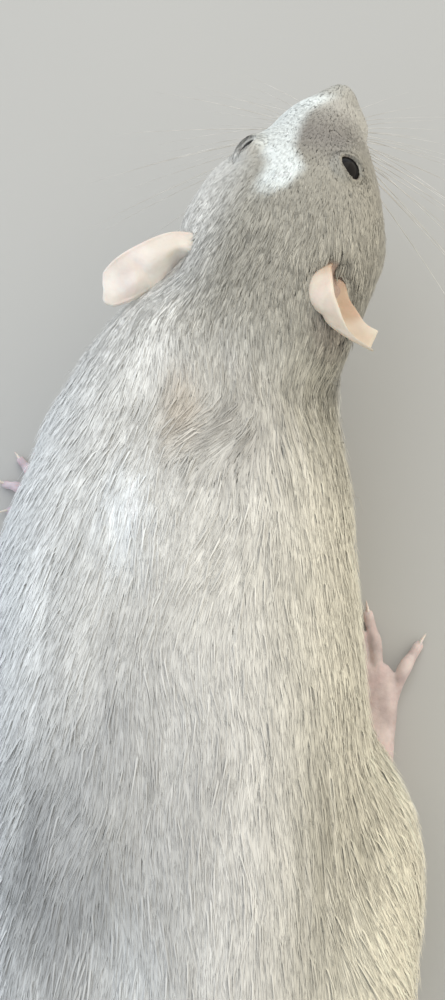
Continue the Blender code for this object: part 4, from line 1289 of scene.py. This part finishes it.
def coat_piece(name, slot, faces, verts, lit, colours, unwrap):
    """One mesh from many tufts that share a list of faces, already in the row frame."""
    count, each = verts.shape[:2]
    mesh = bpy.data.meshes.new(name)
    mesh.vertices.add(count * each)
    mesh.vertices.foreach_set("co", verts.astype(np.float32).ravel())
    all_faces = (faces[None] + (np.arange(count) * each)[:, None, None]).reshape(-1, 3)
    mesh.loops.add(all_faces.size)
    mesh.loops.foreach_set("vertex_index", all_faces.astype(np.int32).ravel())
    mesh.polygons.add(len(all_faces))
    mesh.polygons.foreach_set("loop_start", np.arange(0, all_faces.size, 3, dtype=np.int32))
    mesh.update(calc_edges=True)
    paint(mesh, "POINT", colours.reshape(-1, 3))
    where = mesh.uv_layers.new(name="OFBake")
    where.data.foreach_set("uv", unwrap.reshape(-1, 2)[all_faces.ravel()].astype(np.float32).ravel())
    mesh.shade_smooth()
    mesh.normals_split_custom_set_from_vertices(lit.reshape(-1, 3))
    made = bpy.data.objects.new(name, mesh)
    bpy.context.scene.collection.objects.link(made)
    mesh.materials.append(HAIR)
    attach(made, "root")


# Whiskers


def whisker(start, onward, length, droop, radius):
    """A tapered hair that bends under its own weight, in the rat's frame."""
    rows = []
    for step in range(8):
        share = step / 7
        point = start + onward * (length * share) + Vector((0, 0, -droop * length * share**2))
        rows.append(round_row(point, radius * (1 - 0.9 * share)))
    return lofted(rows, 5, 12)


def whiskers():
    """Five rows of five whiskers on each side of the muzzle, longer and thicker toward the back."""
    rng = np.random.default_rng(SEED + 1)
    surface = surface_of(SKIN)
    parts = []
    for side in SIDES:
        place = HEAD @ side_frame(side)
        turn = place.to_3x3()
        out = turn @ Vector((1.0, 0.0, 0.0))
        for row in range(WHISKER_ROWS):
            for column in range(WHISKER_ROWS):
                start = place @ Vector((0.0, 36.6 - 2.0 * column - 0.3 * row, -13.6 - 1.5 * row))
                met = surface.ray_cast(start, out)[0]
                if met is None:
                    continue
                onward = 0.35 - 0.26 * column + rng.normal(0, 0.06)
                lift = 0.34 - 0.2 * row + rng.normal(0, 0.06)
                lean = turn @ Vector((1.0, onward, lift)).normalized()
                length = 13.0 + 5.4 * column + rng.normal(0, 1.2)
                droop = 0.10 + 0.05 * rng.random()
                parts.append(whisker(met - out * 0.4, lean, length, droop, 0.055 + 0.008 * column))
    return gathered("whiskers", parts)


# Putting it together


def finished(made, finish, slot, *nodes):
    """Turns a piece to the row frame, gives it its material and ties it to the body."""
    made.data.transform(PLACE)
    if finish is not None:
        made.data.materials.clear()
        made.data.materials.append(finish)
    made.data.shade_smooth()
    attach(made, "root")
    if nodes:
        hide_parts(*nodes)
    return made


def unwrapped(made):
    """Gives the skin an unwrap of its own shape."""
    made.data.uv_layers.new(name="OFBake")
    bpy.context.view_layer.objects.active = made
    made.select_set(True)
    bpy.ops.object.mode_set(mode="EDIT")
    bpy.ops.mesh.select_all(action="SELECT")
    bpy.ops.uv.smart_project(angle_limit=math.radians(66), island_margin=0.004)
    bpy.ops.object.mode_set(mode="OBJECT")
    made.select_set(False)
    return made


def eyes_and_claws():
    """The black balls behind the lids, and the claws of each foot."""
    for side in SIDES:
        ball, place = bmesh.new(), eye_frame(side)
        bmesh.ops.create_uvsphere(ball, u_segments=48, v_segments=24, radius=EYE_RADIUS, matrix=place)
        finished(thing("eyeball_" + side, facing_out(ball)), eye_finish(), "eye", "eye_" + side)
        for name, stand, toes, size in (
            ("claws_hind_", HIND_STAND, HIND_TOES, HIND_CLAW),
            ("claws_fore_", FORE_STAND, FORE_TOES, FORE_CLAW),
        ):
            claws = gathered(name + side, [claw(toe[1], toe[2], size) for toe in toes])
            claws.data.transform(foot_frame(side, stand))
            if side == "left":
                claws.data.flip_normals()
            finished(claws, claw_finish(), "bare_skin")


SKIN = unwrapped(skin())
skin_colours(SKIN)
coat()
finished(whiskers(), whisker_finish(), "body_coat")
eyes_and_claws()
finished(SKIN, None, "body_coat", *FLESH, *BARE, *TAIL)


# Floor, light and camera


def studio():
    """A pale floor under soft light: cool from the rat's left, warm and weaker from its right."""
    bm = bmesh.new()
    bmesh.ops.create_grid(bm, x_segments=1, y_segments=1, size=3.0)
    floor = thing("floor", bm)
    floor.data.materials.append(floor_finish())
    for name, place, size, power, colour in (
        ("window_light", (0.75, 0.05, 0.75), 1.8, 7.4, "E8F1FF"),
        ("room_light", (-0.7, -0.25, 0.7), 1.8, 7.8, "FFEDCC"),
        ("rim_light", (0.0, -0.9, 0.7), 1.4, 3.0, "FFFFFF"),
    ):
        data = bpy.data.lights.new(name, "AREA")
        data.size = size
        data.energy = power
        data.color = srgb(colour)[:3]
        lamp = bpy.data.objects.new(name, data)
        lamp.location = place
        lamp.rotation_euler = (Vector((0, 0, 0.03)) - Vector(place)).to_track_quat("-Z", "Y").to_euler()
        bpy.context.scene.collection.objects.link(lamp)
    world = bpy.data.worlds.new("room")
    world.use_nodes = True
    world.node_tree.nodes["Background"].inputs["Color"].default_value = srgb("E4E8EC")
    world.node_tree.nodes["Background"].inputs["Strength"].default_value = 0.84
    bpy.context.scene.world = world
    bpy.context.scene.view_settings.view_transform = "Standard"


def camera():
    """The photo's view: over the rat's back from behind, looking steeply down."""
    data = bpy.data.cameras.new("camera")
    data.sensor_width = SENSOR
    data.lens = CAMERA_PIXELS / PHOTO_HEIGHT * SENSOR
    data.clip_start, data.clip_end = 0.01, 20.0
    made = bpy.data.objects.new("camera", data)
    bpy.context.scene.collection.objects.link(made)
    made.location = PLACE @ Vector(CAMERA_AT)
    down = math.radians(CAMERA_DOWN)
    forward = PLACE.to_3x3() @ Vector((0.0, math.cos(down), -math.sin(down)))
    made.rotation_euler = forward.to_track_quat("-Z", "Y").to_euler()
    bpy.context.scene.camera = made


studio()
camera()
